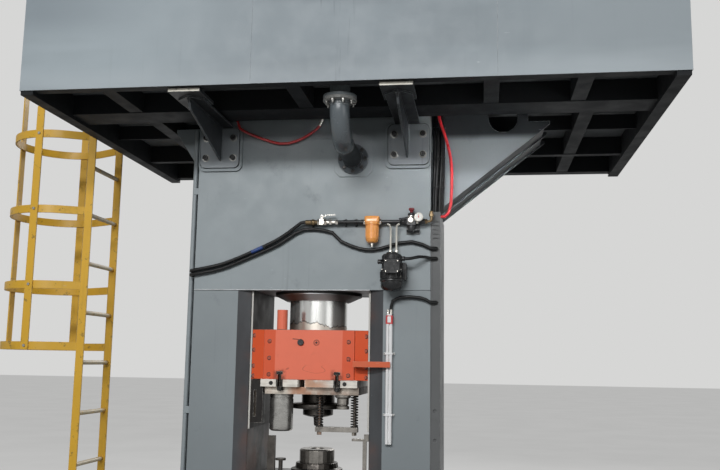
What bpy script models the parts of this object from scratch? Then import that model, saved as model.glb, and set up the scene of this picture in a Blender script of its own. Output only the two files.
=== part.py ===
"""Hydraulic forging press with an overhead service platform, in metres, +Z up, front towards -Y."""

import math

import bmesh
import bpy
from mathutils import Matrix, Vector

# Clearances
CLEAR = 0.0003
RUN = 0.0007
JOIN = 0.002

# Frame
FRAME_W = 1.40
FRAME_D = 0.58
SEAM_Z = 2.0
BED_TOP = 0.86
CROWN_H = 1.12
CROWN_WALL = 0.05
CROWN_SILL = 0.09
COLUMN_SET_BACK = 0.005
WINDOW_W = 0.706
COLUMN_FLAT_IN = 0.43
COLUMN_BEVEL = 0.03
COLUMN_WALL = 0.045
RAIL_T = 0.010
RAIL_BOTTOM_Z = 1.20
FOOT_T = 0.04
FOOT_OUT = 0.08

# Cylinder and ram
CYLINDER_R = 0.235
GLAND_R = 0.265
GLAND_H = 0.052
GLAND_RIM = 0.016
GLAND_NOSE_R = 0.192
RAM_R = 0.175
RAM_TOP_Z = 2.56
CYLINDER_ABOVE_CROWN = 0.08
TURN_STEPS = 32

# Slide
SLIDE_H = 0.285
SLIDE_BOTTOM_Z = 1.485
SLIDE_SET_BACK = 0.008
SLIDE_FLAT = 0.196
SLIDE_STRIP = 0.264
SLIDE_PAD_BACK = 0.030
TSLOT_X = 0.168
TSLOT_NECK = 0.020
TSLOT_HEAD = 0.038
TSLOT_HEAD_H = 0.018
TSLOT_NECK_H = 0.028
STOP_POST_R = 0.031
STOP_POST_H = 0.115
STOP_POST_X = -0.167

# Tools
SHOE_T = 0.042
UPPER_PLATE_T = 0.042
SLEEVE_R = 0.069
SLEEVE_H = 0.213
STATION_X = 0.181
STATION_Y = -0.148
PUNCH_X = 0.194
STRIPPER_ROD_X = (0.046, 0.252)
STRIPPER_Y = -0.140
STRIPPER_ROD_R = 0.008
STRIPPER_BAR_Z = 1.186
STRIPPER_BAR_T = 0.028
SPRING_R = 0.019
SPRING_WIRE_R = 0.0035
SPRING_TURNS = 13
BOLSTER_T = 0.06
DIE_HOLDER_R = 0.155
DIE_HOLDER_H = 0.07
LOWER_DIE_R = 0.105
LOWER_DIE_H = 0.08
EJECTOR_ROD_R = 0.018
EJECTOR_BODY_R = 0.060
UPPER_DIE_Y = 0.05
UPPER_DIE_TIP_Z = 1.205
POINTER_TIP_X = 0.478

# Platform
DECK_X = (-1.472, 2.002)
DECK_Y = (-1.019, 1.277)
UNDERSIDE_DROP = 0.112
BEAM_H = 0.12
DECK_T = 0.006
FASCIA_H = 0.585
FASCIA_T = 0.004
FASCIA_LIP = 0.045
FASCIA_SEAMS = (-0.194, 1.074)
EDGE_BEAM_W = 0.07
SIDE_BEAM_DROP = 0.023
CROSS_BEAM_Y = (-0.560, -0.345)
REAR_CROSS_Y = (0.650, 0.700)
RIB_Y = 0.095
RIB_W = 0.012
RIB_INSET = 0.100
JOIST_W = 0.080
FRONT_JOISTS_X = (-1.000, 0.012, 1.045, 1.512)
REAR_JOISTS_X = (-0.975, 1.585)

# Struts under the platform
STRUT_X = 0.563
STRUT_PLATE_W = 0.238
STRUT_PLATE_H = 0.243
STRUT_PLATE_T = 0.018
STRUT_PLATE_DROP = 0.276
STRUT_WEB_T = 0.012
STRUT_FOOT_DROP = 0.236
STRUT_FLANGE_W = 0.146
STRUT_WEB_KINK_DROP = 0.083
STRUT_NOSE_Y = -0.925

# Oil pipe
PIPE_X = 0.244
PAD_T = 0.008
PIPE_R = 0.054
PIPE_DROP = 0.236
PIPE_TOP_Y = -0.805
PIPE_BEND_R = 0.170
PIPE_FLANGE_R = 0.090
PIPE_FLANGE_T = 0.016

# Ladder and cage
LADDER_X = -1.500
LADDER_Y = (-0.070, 0.335)
LADDER_RISE = 1.092
LADDER_GATE = 0.10
RUNG_STEP = 0.312
BAR_W = 0.050
BAR_T = 0.010
HOOP_R = 0.31
HOOP_X = -1.80
HOOP_Z = (1.66, 2.04, 2.52, 3.01)

# Air line, lubrication and cables
AIR_Z = 2.392
AIR_OUT = 0.036
AIR_PIPE_R = 0.011
FILTER_X = 0.366
REGULATOR_X = 0.592
GAUGE_X = 0.636
PUMP_X = 0.489
PUMP_OUT = 0.105
DUCT_TOP_Z = 2.455
DUCT_W = 0.055
CABLE_BLOCK_Z = 2.098

# Power unit on the platform
TANK_H = 0.7257
MOTOR_X = 1.05
MOTOR_Y = 0.62
SHAFT_R = 0.028

HALF_W = FRAME_W / 2
FRONT = -FRAME_D / 2
BACK = FRAME_D / 2
CROWN_TOP = SEAM_Z + CROWN_H
CYLINDER_TOP_Z = CROWN_TOP + CYLINDER_ABOVE_CROWN
UNDERSIDE_Z = CROWN_TOP - UNDERSIDE_DROP
STRUT_PLATE_Z = UNDERSIDE_Z - STRUT_PLATE_DROP
STRUT_FOOT_Z = UNDERSIDE_Z - STRUT_FOOT_DROP
STRUT_WEB_KINK_Z = UNDERSIDE_Z - STRUT_WEB_KINK_DROP
PIPE_WALL_Z = UNDERSIDE_Z - PIPE_DROP
LADDER_TOP_Z = UNDERSIDE_Z + LADDER_RISE
HALF_WINDOW = WINDOW_W / 2
SLIDE_TOP_Z = SLIDE_BOTTOM_Z + SLIDE_H
SLIDE_HALF = HALF_WINDOW - RAIL_T - CLEAR - RUN
BEAM_TOP = UNDERSIDE_Z + BEAM_H
DECK_Z = BEAM_TOP + CLEAR
DECK_TOP = DECK_Z + DECK_T
AIR_Y = FRONT - AIR_OUT
POINTER_BACK_Y = FRONT - 0.036
DUCT_FRONT = FRONT + 0.006
CONDUIT_Y = FRONT + 0.050
TANK_LOW = (-0.30, -0.965, DECK_TOP + CLEAR)
TANK_HIGH = (0.90, -0.42, DECK_TOP + TANK_H)
LADDER_MID_Y = (LADDER_Y[0] + LADDER_Y[1]) / 2

SLATE = ((0.235, 0.262, 0.286), 0.45, 0.0)
SLATE_DARK = ((0.120, 0.130, 0.140), 0.55, 0.0)
FASCIA_GREY = ((0.300, 0.330, 0.352), 0.40, 0.0)
ORANGE = ((0.780, 0.190, 0.080), 0.45, 0.0)
CHROME = ((0.720, 0.710, 0.690), 0.12, 1.0)
STEEL = ((0.480, 0.465, 0.440), 0.35, 1.0)
DARK_STEEL = ((0.130, 0.120, 0.110), 0.45, 1.0)
BLACK = ((0.020, 0.020, 0.022), 0.55, 0.0)
RUBBER = ((0.025, 0.025, 0.027), 0.70, 0.0)
RED = ((0.600, 0.050, 0.045), 0.45, 0.0)
YELLOW = ((0.780, 0.500, 0.060), 0.45, 0.0)
FILTER_ORANGE = ((0.850, 0.330, 0.060), 0.35, 0.0)
BRASS = ((0.620, 0.480, 0.260), 0.30, 1.0)
WHITE = ((0.700, 0.710, 0.700), 0.45, 0.0)
MOTOR_BLUE = ((0.060, 0.120, 0.220), 0.45, 0.0)

PLANE_TURN = {
    "XY": Matrix.Identity(4),
    "XZ": Matrix.Rotation(math.radians(90), 4, "X"),
    "YZ": Matrix.Rotation(math.radians(90), 4, "Z") @ Matrix.Rotation(math.radians(90), 4, "X"),
}
AXIS_TURN = {
    "X": Matrix.Rotation(math.radians(90), 4, "Y"),
    "Y": Matrix.Rotation(math.radians(-90), 4, "X"),
    "Z": Matrix.Identity(4),
}


def new_collection(name):
    made = bpy.data.collections.new(name)
    bpy.context.scene.collection.children.link(made)
    return made


for old in list(bpy.data.objects):
    bpy.data.objects.remove(old)
PARTS = new_collection("hydraulic_press")
CUTTERS = new_collection("cutters")


def add_mesh(name, form, holder):
    mesh = bpy.data.meshes.new(name)
    form.to_mesh(mesh)
    form.free()
    made = bpy.data.objects.new(name, mesh)
    holder.objects.link(made)
    return made


def finish(piece, look):
    """Give a piece its own Principled material."""
    colour, roughness, metallic = look
    material = bpy.data.materials.new(piece.name + "_finish")
    material.use_nodes = True
    shader = material.node_tree.nodes["Principled BSDF"]
    shader.inputs["Base Color"].default_value = (*colour, 1.0)
    shader.inputs["Roughness"].default_value = roughness
    shader.inputs["Metallic"].default_value = metallic
    piece.data.materials.append(material)
    return piece


def block(name, low, high, holder=PARTS):
    form = bmesh.new()
    bmesh.ops.create_cube(form, size=1.0)
    size = Vector(high) - Vector(low)
    middle = (Vector(high) + Vector(low)) / 2
    bmesh.ops.scale(form, vec=size, verts=form.verts)
    made = add_mesh(name, form, holder)
    made.location = middle
    return made


def rod(name, radius, start, end, holder=PARTS, sides=12, tip_radius=None):
    """A round or many-sided bar from start to end."""
    start = Vector(start)
    end = Vector(end)
    form = bmesh.new()
    tip = radius if tip_radius is None else tip_radius
    bmesh.ops.create_cone(
        form, cap_ends=True, segments=sides, radius1=radius, radius2=tip, depth=(end - start).length
    )
    made = add_mesh(name, form, holder)
    turn = (end - start).to_track_quat("Z", "Y").to_matrix().to_4x4()
    made.matrix_world = Matrix.Translation((start + end) / 2) @ turn
    return made


def turned(name, profile, at=(0, 0, 0), axis="Z", holder=PARTS, steps=TURN_STEPS):
    """A revolved piece: the profile is (radius, height) from top to bottom on its outer side."""
    form = bmesh.new()
    points = [form.verts.new((radius, 0, height)) for radius, height in profile]
    for first, second in zip(points, points[1:]):
        form.edges.new((first, second))
    if profile[0][0] > 0:
        form.edges.new((points[-1], points[0]))
    made = add_mesh(name, form, holder)
    screw = made.modifiers.new("Turn", "SCREW")
    screw.steps = steps
    screw.render_steps = steps
    screw.use_merge_vertices = True
    screw.merge_threshold = 0.0001
    made.matrix_world = Matrix.Translation(at) @ AXIS_TURN[axis]
    return made


def mesh_of_curve(name, curve, holder):
    """Turn a curve into a closed mesh piece."""
    temporary = bpy.data.objects.new(name + "_curve", curve)
    bpy.context.scene.collection.objects.link(temporary)
    mesh = bpy.data.meshes.new_from_object(temporary)
    bpy.data.objects.remove(temporary)
    bpy.data.curves.remove(curve)
    form = bmesh.new()
    form.from_mesh(mesh)
    bpy.data.meshes.remove(mesh)
    bmesh.ops.remove_doubles(form, verts=form.verts, dist=0.00002)
    bmesh.ops.recalc_face_normals(form, faces=form.faces)
    return add_mesh(name, form, holder)


def plate(name, outline, low, high, plane="XY", holder=PARTS, holes=()):
    """A flat piece from an outline, between low and high across its plane."""
    curve = bpy.data.curves.new(name, "CURVE")
    curve.dimensions = "2D"
    curve.fill_mode = "BOTH"
    curve.extrude = (high - low) / 2
    for ring in (outline, *holes):
        spline = curve.splines.new("POLY")
        spline.points.add(len(ring) - 1)
        for point, (x, y) in zip(spline.points, ring):
            point.co = (x, y, 0, 1)
        spline.use_cyclic_u = True
    made = mesh_of_curve(name, curve, holder)
    middle = (low + high) / 2
    across = {"XY": Vector((0, 0, middle)), "XZ": Vector((0, middle, 0)), "YZ": Vector((middle, 0, 0))}
    made.matrix_world = Matrix.Translation(across[plane]) @ PLANE_TURN[plane]
    return made


def smooth_route(points, spacing):
    """Points about a spacing apart along a Catmull-Rom curve through the route."""
    route = [Vector(point) for point in points]
    route = [2 * route[0] - route[1], *route, 2 * route[-1] - route[-2]]
    found = [route[1]]
    for before, start, end, after in zip(route, route[1:], route[2:], route[3:]):
        count = max(1, round((end - start).length / spacing))
        for step in range(1, count + 1):
            t = step / count
            found.append(
                0.5
                * (
                    2 * start
                    + (end - before) * t
                    + (2 * before - 5 * start + 4 * end - after) * t**2
                    + (3 * start - before - 3 * end + after) * t**3
                )
            )
    return found


def tube_curve(name, points, radius, resolution):
    curve = bpy.data.curves.new(name, "CURVE")
    curve.dimensions = "3D"
    curve.bevel_depth = radius
    curve.bevel_resolution = resolution
    curve.use_fill_caps = True
    spline = curve.splines.new("POLY")
    spline.points.add(len(points) - 1)
    for point, place in zip(spline.points, points):
        point.co = (*place, 1)
    return curve


def cord(name, route, radius, spacing=None, resolution=2):
    """A hose or cable along a smooth curve through the points of its route."""
    points = smooth_route(route, spacing or radius * 5)
    made = bpy.data.objects.new(name, tube_curve(name, points, radius, resolution))
    PARTS.objects.link(made)
    return made


def pipe(name, points, radius, holder=PARTS, resolution=3):
    """A rigid pipe along a chain of points, as a closed mesh."""
    return mesh_of_curve(name, tube_curve(name, points, radius, resolution), holder)


def boolean(target, tool, operation):
    step = target.modifiers.new(tool.name, "BOOLEAN")
    step.operation = operation
    step.solver = "EXACT"
    step.object = tool
    tool.hide_render = True
    tool.display_type = "WIRE"


def fuse(target, *tools):
    for tool in tools:
        boolean(target, tool, "UNION")
    return target


def cut(target, *tools):
    for tool in tools:
        boolean(target, tool, "DIFFERENCE")
    return target


def pivot(name, place, *pieces):
    """An empty on a joint's axis that carries the moving pieces."""
    empty = bpy.data.objects.new(name, None)
    empty.location = place
    empty.empty_display_size = 0.1
    PARTS.objects.link(empty)
    for piece in pieces:
        piece.parent = empty
        piece.matrix_parent_inverse = Matrix.Translation(-Vector(place))
    return empty


def arc(centre, radius, start, end, count):
    """Points of an arc in a plane, angles in degrees."""
    found = []
    for step in range(count + 1):
        angle = math.radians(start + (end - start) * step / count)
        found.append((centre[0] + radius * math.cos(angle), centre[1] + radius * math.sin(angle)))
    return found


def mirrored(points):
    return [(-x, y) for x, y in points]


def bolt_ring(name, centre, radius, count, head_r, start_y, end_y):
    """Hexagon bolt heads on a circle, their axes along Y."""
    heads = []
    for number in range(count):
        angle = 2 * math.pi * (number + 0.5) / count
        x = centre[0] + radius * math.cos(angle)
        z = centre[1] + radius * math.sin(angle)
        heads.append(rod(f"{name}_{number}", head_r, (x, start_y, z), (x, end_y, z), CUTTERS, 6))
    return heads


def build_frame():
    crown = block("crown", (-HALF_W, FRONT, SEAM_Z + CLEAR), (HALF_W, BACK, CROWN_TOP))
    inner_x = HALF_W - CROWN_WALL
    inner_y = BACK - CROWN_WALL
    hollow = block(
        "crown_hollow",
        (-inner_x, -inner_y, SEAM_Z + CROWN_SILL),
        (inner_x, inner_y, CROWN_TOP - CROWN_SILL),
        CUTTERS,
    )
    bore_r = CYLINDER_R + CLEAR
    bore = turned(
        "crown_bore",
        ((0, CROWN_TOP + 0.1), (bore_r, CROWN_TOP + 0.1), (bore_r, SEAM_Z - 0.1), (0, SEAM_Z - 0.1)),
        holder=CUTTERS,
    )
    pad_half_w = 0.111
    pad_half_h = 0.104
    corner = 0.03
    pad = plate(
        "crown_pipe_pad",
        [
            (PIPE_X - pad_half_w, PIPE_WALL_Z - pad_half_h + corner),
            (PIPE_X - pad_half_w + corner, PIPE_WALL_Z - pad_half_h),
            (PIPE_X + pad_half_w - corner, PIPE_WALL_Z - pad_half_h),
            (PIPE_X + pad_half_w, PIPE_WALL_Z - pad_half_h + corner),
            (PIPE_X + pad_half_w, PIPE_WALL_Z + pad_half_h - corner),
            (PIPE_X + pad_half_w - corner, PIPE_WALL_Z + pad_half_h),
            (PIPE_X - pad_half_w + corner, PIPE_WALL_Z + pad_half_h),
            (PIPE_X - pad_half_w, PIPE_WALL_Z + pad_half_h - corner),
        ],
        FRONT - PAD_T,
        FRONT + JOIN,
        "XZ",
        CUTTERS,
    )
    finish(cut(fuse(crown, pad), hollow, bore), SLATE)

    front = FRONT + COLUMN_SET_BACK
    back = BACK - COLUMN_SET_BACK
    outline = [
        (HALF_WINDOW, front + COLUMN_BEVEL),
        (COLUMN_FLAT_IN, front),
        (HALF_W, front),
        (HALF_W, back),
        (COLUMN_FLAT_IN, back),
        (HALF_WINDOW, back - COLUMN_BEVEL),
    ]
    hole_in = HALF_WINDOW + COLUMN_WALL
    hole_out = HALF_W - COLUMN_WALL
    hole_y = back - COLUMN_WALL - COLUMN_BEVEL / 2
    hole = [(hole_in, -hole_y), (hole_out, -hole_y), (hole_out, hole_y), (hole_in, hole_y)]
    for side, points, ring in (("right", outline, hole), ("left", mirrored(outline), mirrored(hole))):
        column = plate(f"{side}_column", points, BED_TOP + CLEAR, SEAM_Z, holes=(ring,))
        finish(column, SLATE)

    bed = block("bed", (-HALF_W, front, 0.0), (HALF_W, back, BED_TOP))
    foot = block(
        "bed_foot",
        (-HALF_W - FOOT_OUT, front - FOOT_OUT, 0.0),
        (HALF_W + FOOT_OUT, back + FOOT_OUT, FOOT_T),
        CUTTERS,
    )
    anchors = []
    for x in (-1, 1):
        for y in (-1, 1):
            place = (x * (HALF_W + FOOT_OUT / 2), y * (BACK - 0.06))
            anchors.append(
                rod(
                    f"bed_anchor_{x}_{y}",
                    0.022,
                    (*place, FOOT_T - JOIN),
                    (*place, FOOT_T + 0.03),
                    CUTTERS,
                    6,
                )
            )
    window_half = 0.25
    window = block(
        "bed_window", (-window_half, -1, 0.16), (window_half, 1, BED_TOP - 0.18), CUTTERS
    )
    chamber = block(
        "bed_chamber",
        (-HALF_W + 0.08, -inner_y + 0.03, 0.08),
        (HALF_W - 0.08, inner_y - 0.03, BED_TOP - 0.08),
        CUTTERS,
    )
    ejector_r = EJECTOR_BODY_R + CLEAR
    ejector_bore = turned(
        "bed_bore",
        (
            (0, BED_TOP + 0.1),
            (ejector_r, BED_TOP + 0.1),
            (ejector_r, BED_TOP - 0.2),
            (0, BED_TOP - 0.2),
        ),
        (0, UPPER_DIE_Y, 0),
        holder=CUTTERS,
        steps=16,
    )
    finish(cut(fuse(bed, foot, *anchors), chamber, window, ejector_bore), SLATE)

    for side, sign in (("right", 1), ("left", -1)):
        edges = sorted((sign * (HALF_WINDOW - CLEAR), sign * (HALF_WINDOW - CLEAR - RAIL_T)))
        rail = block(
            f"{side}_guide_rail",
            (edges[0], front + COLUMN_BEVEL, RAIL_BOTTOM_Z),
            (edges[1], back - COLUMN_BEVEL, SEAM_Z - JOIN),
        )
        finish(rail, STEEL)


def build_cylinder():
    bore_r = RAM_R + CLEAR
    profile = (
        (0, CYLINDER_TOP_Z),
        (CYLINDER_R - 0.02, CYLINDER_TOP_Z),
        (CYLINDER_R, CYLINDER_TOP_Z - 0.02),
        (CYLINDER_R, SEAM_Z),
        (GLAND_R, SEAM_Z),
        (GLAND_R, SEAM_Z - GLAND_RIM),
        (GLAND_R - 0.008, SEAM_Z - GLAND_RIM - 0.007),
        (GLAND_NOSE_R, SEAM_Z - GLAND_H),
        (bore_r, SEAM_Z - GLAND_H),
        (bore_r, CYLINDER_TOP_Z - 0.15),
        (0, CYLINDER_TOP_Z - 0.15),
    )
    finish(turned("main_cylinder", profile), DARK_STEEL)
    ram_profile = (
        (0, RAM_TOP_Z),
        (RAM_R - 0.01, RAM_TOP_Z),
        (RAM_R, RAM_TOP_Z - 0.01),
        (RAM_R, SLIDE_TOP_Z + CLEAR),
        (0, SLIDE_TOP_Z + CLEAR),
    )
    return [finish(turned("ram", ram_profile), CHROME)]


def build_slide():
    front = FRONT + SLIDE_SET_BACK
    quarter = [
        (SLIDE_FLAT, front),
        (SLIDE_STRIP, front + 0.006),
        (SLIDE_STRIP + 0.004, front + 0.016),
        (SLIDE_HALF, front + SLIDE_PAD_BACK),
    ]
    right = quarter + [(x, -y) for x, y in reversed(quarter)]
    outline = right + [(-x, y) for x, y in reversed(right)]
    slide = plate("slide", outline, SLIDE_BOTTOM_Z, SLIDE_TOP_Z)
    post_y = front + STOP_POST_R + 0.001
    post = rod(
        "slide_stop_post",
        STOP_POST_R,
        (STOP_POST_X, post_y, SLIDE_TOP_Z - JOIN),
        (STOP_POST_X, post_y, SLIDE_TOP_Z + STOP_POST_H),
        CUTTERS,
        16,
    )
    fuse(slide, post)
    for side, x in (("left", -TSLOT_X), ("right", TSLOT_X)):
        head_z = SLIDE_BOTTOM_Z + TSLOT_NECK_H
        slot = plate(
            f"slide_slot_{side}",
            [
                (x - TSLOT_NECK / 2, SLIDE_BOTTOM_Z - 0.01),
                (x + TSLOT_NECK / 2, SLIDE_BOTTOM_Z - 0.01),
                (x + TSLOT_NECK / 2, head_z),
                (x + TSLOT_HEAD / 2, head_z),
                (x + TSLOT_HEAD / 2, head_z + TSLOT_HEAD_H),
                (x - TSLOT_HEAD / 2, head_z + TSLOT_HEAD_H),
                (x - TSLOT_HEAD / 2, head_z),
                (x - TSLOT_NECK / 2, head_z),
            ],
            front - 0.05,
            -front + 0.05,
            "XZ",
            CUTTERS,
        )
        cut(slide, slot)
    finish(slide, ORANGE)

    arm_low = 1.562
    pad_slope = (SLIDE_PAD_BACK - 0.016) / (SLIDE_HALF - SLIDE_STRIP - 0.004)
    root_in = front + 0.016 + pad_slope * 0.006 - 2 * CLEAR
    root_out = front + 0.016 + pad_slope * 0.032 - 2 * CLEAR
    root_x = SLIDE_STRIP + 0.010
    arm = plate(
        "pointer_arm",
        [
            (root_x, root_in),
            (root_x + 0.026, root_out),
            (root_x + 0.026, POINTER_BACK_Y),
            (POINTER_TIP_X, POINTER_BACK_Y),
            (POINTER_TIP_X, POINTER_BACK_Y - 0.012),
            (root_x - 0.008, POINTER_BACK_Y - 0.012),
            (root_x - 0.008, root_in - 0.020),
        ],
        arm_low,
        arm_low + 0.032,
    )
    finish(arm, ORANGE)
    return [slide, arm]


def t_bolt(name, x, y):
    """Hammer-head bolt from the slide's slot down through the shoe, with its nut."""
    head_z = SLIDE_BOTTOM_Z + TSLOT_NECK_H
    shoe_bottom = SLIDE_BOTTOM_Z - CLEAR - SHOE_T
    head = block(
        f"{name}_head",
        (x - TSLOT_HEAD / 2 + RUN, y - 0.018, head_z + CLEAR),
        (x + TSLOT_HEAD / 2 - RUN, y + 0.018, head_z + TSLOT_HEAD_H - 0.001),
        CUTTERS,
    )
    shank = rod(f"{name}_shank", 0.008, (x, y, shoe_bottom - 0.02), (x, y, head_z + 0.008), CUTTERS)
    nut = rod(
        f"{name}_nut",
        0.017,
        (x, y, shoe_bottom - 0.022),
        (x, y, shoe_bottom + 0.001),
        CUTTERS,
        6,
    )
    return [nut, shank, head]


def build_upper_tools():
    front = FRONT + SLIDE_SET_BACK
    shoe_top = SLIDE_BOTTOM_Z - CLEAR
    shoe_bottom = shoe_top - SHOE_T
    bolt_y = front + 0.022
    slot_end = front + 0.045
    slot_half = 0.011
    outline = [
        (-0.280, front + 0.004),
        (-TSLOT_X - slot_half, front + 0.004),
        (-TSLOT_X - slot_half, slot_end),
        (-TSLOT_X + slot_half, slot_end),
        (-TSLOT_X + slot_half, front + 0.004),
        (-0.062, front + 0.004),
        (-0.052, front + 0.014),
        (-0.052, -0.12),
        (-0.020, -0.12),
        (-0.020, front + 0.004),
        (TSLOT_X - slot_half, front + 0.004),
        (TSLOT_X - slot_half, slot_end),
        (TSLOT_X + slot_half, slot_end),
        (TSLOT_X + slot_half, front + 0.004),
        (0.285, front + 0.004),
        (0.285, 0.20),
        (-0.280, 0.20),
    ]
    shoe = plate("upper_shoe", outline, shoe_bottom, shoe_top)
    guide = block(
        "guide_shoe",
        (-SLIDE_HALF, -0.245, 1.235),
        (-0.272, -0.185, shoe_top - 0.001),
        CUTTERS,
    )
    guide_slot = block("guide_shoe_slot", (-0.325, -0.30, 1.27), (-0.312, -0.225, 1.42), CUTTERS)
    bolts = t_bolt("left_t_bolt", -TSLOT_X, bolt_y) + t_bolt("right_t_bolt", TSLOT_X, bolt_y)
    cut(fuse(shoe, guide, *bolts), guide_slot)
    finish(shoe, STEEL)

    plate_top = shoe_bottom - CLEAR
    plate_bottom = plate_top - UPPER_PLATE_T
    upper_plate = block("upper_plate", (-0.262, bolt_y + 0.020, plate_bottom), (0.290, 0.20, plate_top))
    rod_end = STRIPPER_BAR_Z - CLEAR
    for number, x in enumerate(STRIPPER_ROD_X):
        bar = rod(
            f"stripper_rod_{number}",
            STRIPPER_ROD_R,
            (x, STRIPPER_Y, rod_end - 0.01),
            (x, STRIPPER_Y, plate_bottom + JOIN),
            CUTTERS,
            10,
        )
        nut = rod(
            f"stripper_nut_{number}",
            0.015,
            (x, STRIPPER_Y, rod_end - 0.018),
            (x, STRIPPER_Y, rod_end),
            CUTTERS,
            6,
        )
        fuse(upper_plate, bar, nut)
    finish(upper_plate, STEEL)

    seat = plate_bottom - CLEAR
    sleeve_profile = (
        (0, seat),
        (SLEEVE_R, seat),
        (SLEEVE_R, seat - SLEEVE_H + 0.012),
        (SLEEVE_R - 0.012, seat - SLEEVE_H),
        (0, seat - SLEEVE_H),
    )
    sleeve = turned("left_sleeve", sleeve_profile, (-STATION_X, STATION_Y, 0), steps=20)
    finish(sleeve, STEEL)
    die_profile = (
        (0, seat),
        (0.100, seat),
        (0.100, seat - 0.055),
        (0.155, seat - 0.062),
        (0.162, seat - 0.070),
        (0.162, seat - 0.085),
        (0.150, seat - 0.092),
        (0.092, seat - 0.096),
        (0.092, seat - 0.128),
        (0.060, seat - 0.140),
        (0.028, seat - 0.146),
        (0.024, UPPER_DIE_TIP_Z),
        (0, UPPER_DIE_TIP_Z),
    )
    upper_die = turned("upper_die", die_profile, (0, UPPER_DIE_Y, 0), steps=28)
    finish(upper_die, DARK_STEEL)
    punch_profile = (
        (0, seat),
        (0.046, seat),
        (0.046, seat - 0.012),
        (0.034, seat - 0.020),
        (0.034, seat - 0.052),
        (0.028, seat - 0.056),
        (0.037, seat - 0.064),
        (0.037, seat - 0.080),
        (0, seat - 0.080),
    )
    punch = turned("right_punch", punch_profile, (PUNCH_X, -0.21, 0), steps=16)
    finish(punch, STEEL)

    bar_low = STRIPPER_BAR_Z
    bar = block(
        "stripper_bar",
        (STRIPPER_ROD_X[0] - 0.022, STRIPPER_Y - 0.022, bar_low),
        (STRIPPER_ROD_X[1] + 0.022, STRIPPER_Y + 0.022, bar_low + STRIPPER_BAR_T),
    )
    springs = []
    for number, (side, x) in enumerate(zip(("left", "right"), STRIPPER_ROD_X)):
        hole = rod(
            f"stripper_hole_{number}",
            STRIPPER_ROD_R + 0.001,
            (x, STRIPPER_Y, bar_low - 0.01),
            (x, STRIPPER_Y, bar_low + STRIPPER_BAR_T + 0.01),
            CUTTERS,
            10,
        )
        cut(bar, hole)
        low = bar_low + STRIPPER_BAR_T + SPRING_WIRE_R + CLEAR
        high = plate_bottom - SPRING_WIRE_R - CLEAR
        springs.append(coil_spring(f"{side}_spring", (x, STRIPPER_Y), low, high))
    finish(bar, STEEL)
    lift = pivot("stripper_lift", (STRIPPER_ROD_X[0], STRIPPER_Y, bar_low), bar)
    return [shoe, upper_plate, sleeve, upper_die, punch, *springs, lift]


def coil_spring(name, centre, low, high):
    """A helical spring, its turns worked out by a loop."""
    per_turn = 6
    count = SPRING_TURNS * per_turn
    points = []
    for step in range(count + 1):
        angle = 2 * math.pi * step / per_turn
        height = low + (high - low) * step / count
        points.append(
            (centre[0] + SPRING_R * math.cos(angle), centre[1] + SPRING_R * math.sin(angle), height)
        )
    spring = pipe(name, points, SPRING_WIRE_R, resolution=1)
    return finish(spring, DARK_STEEL)


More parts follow.
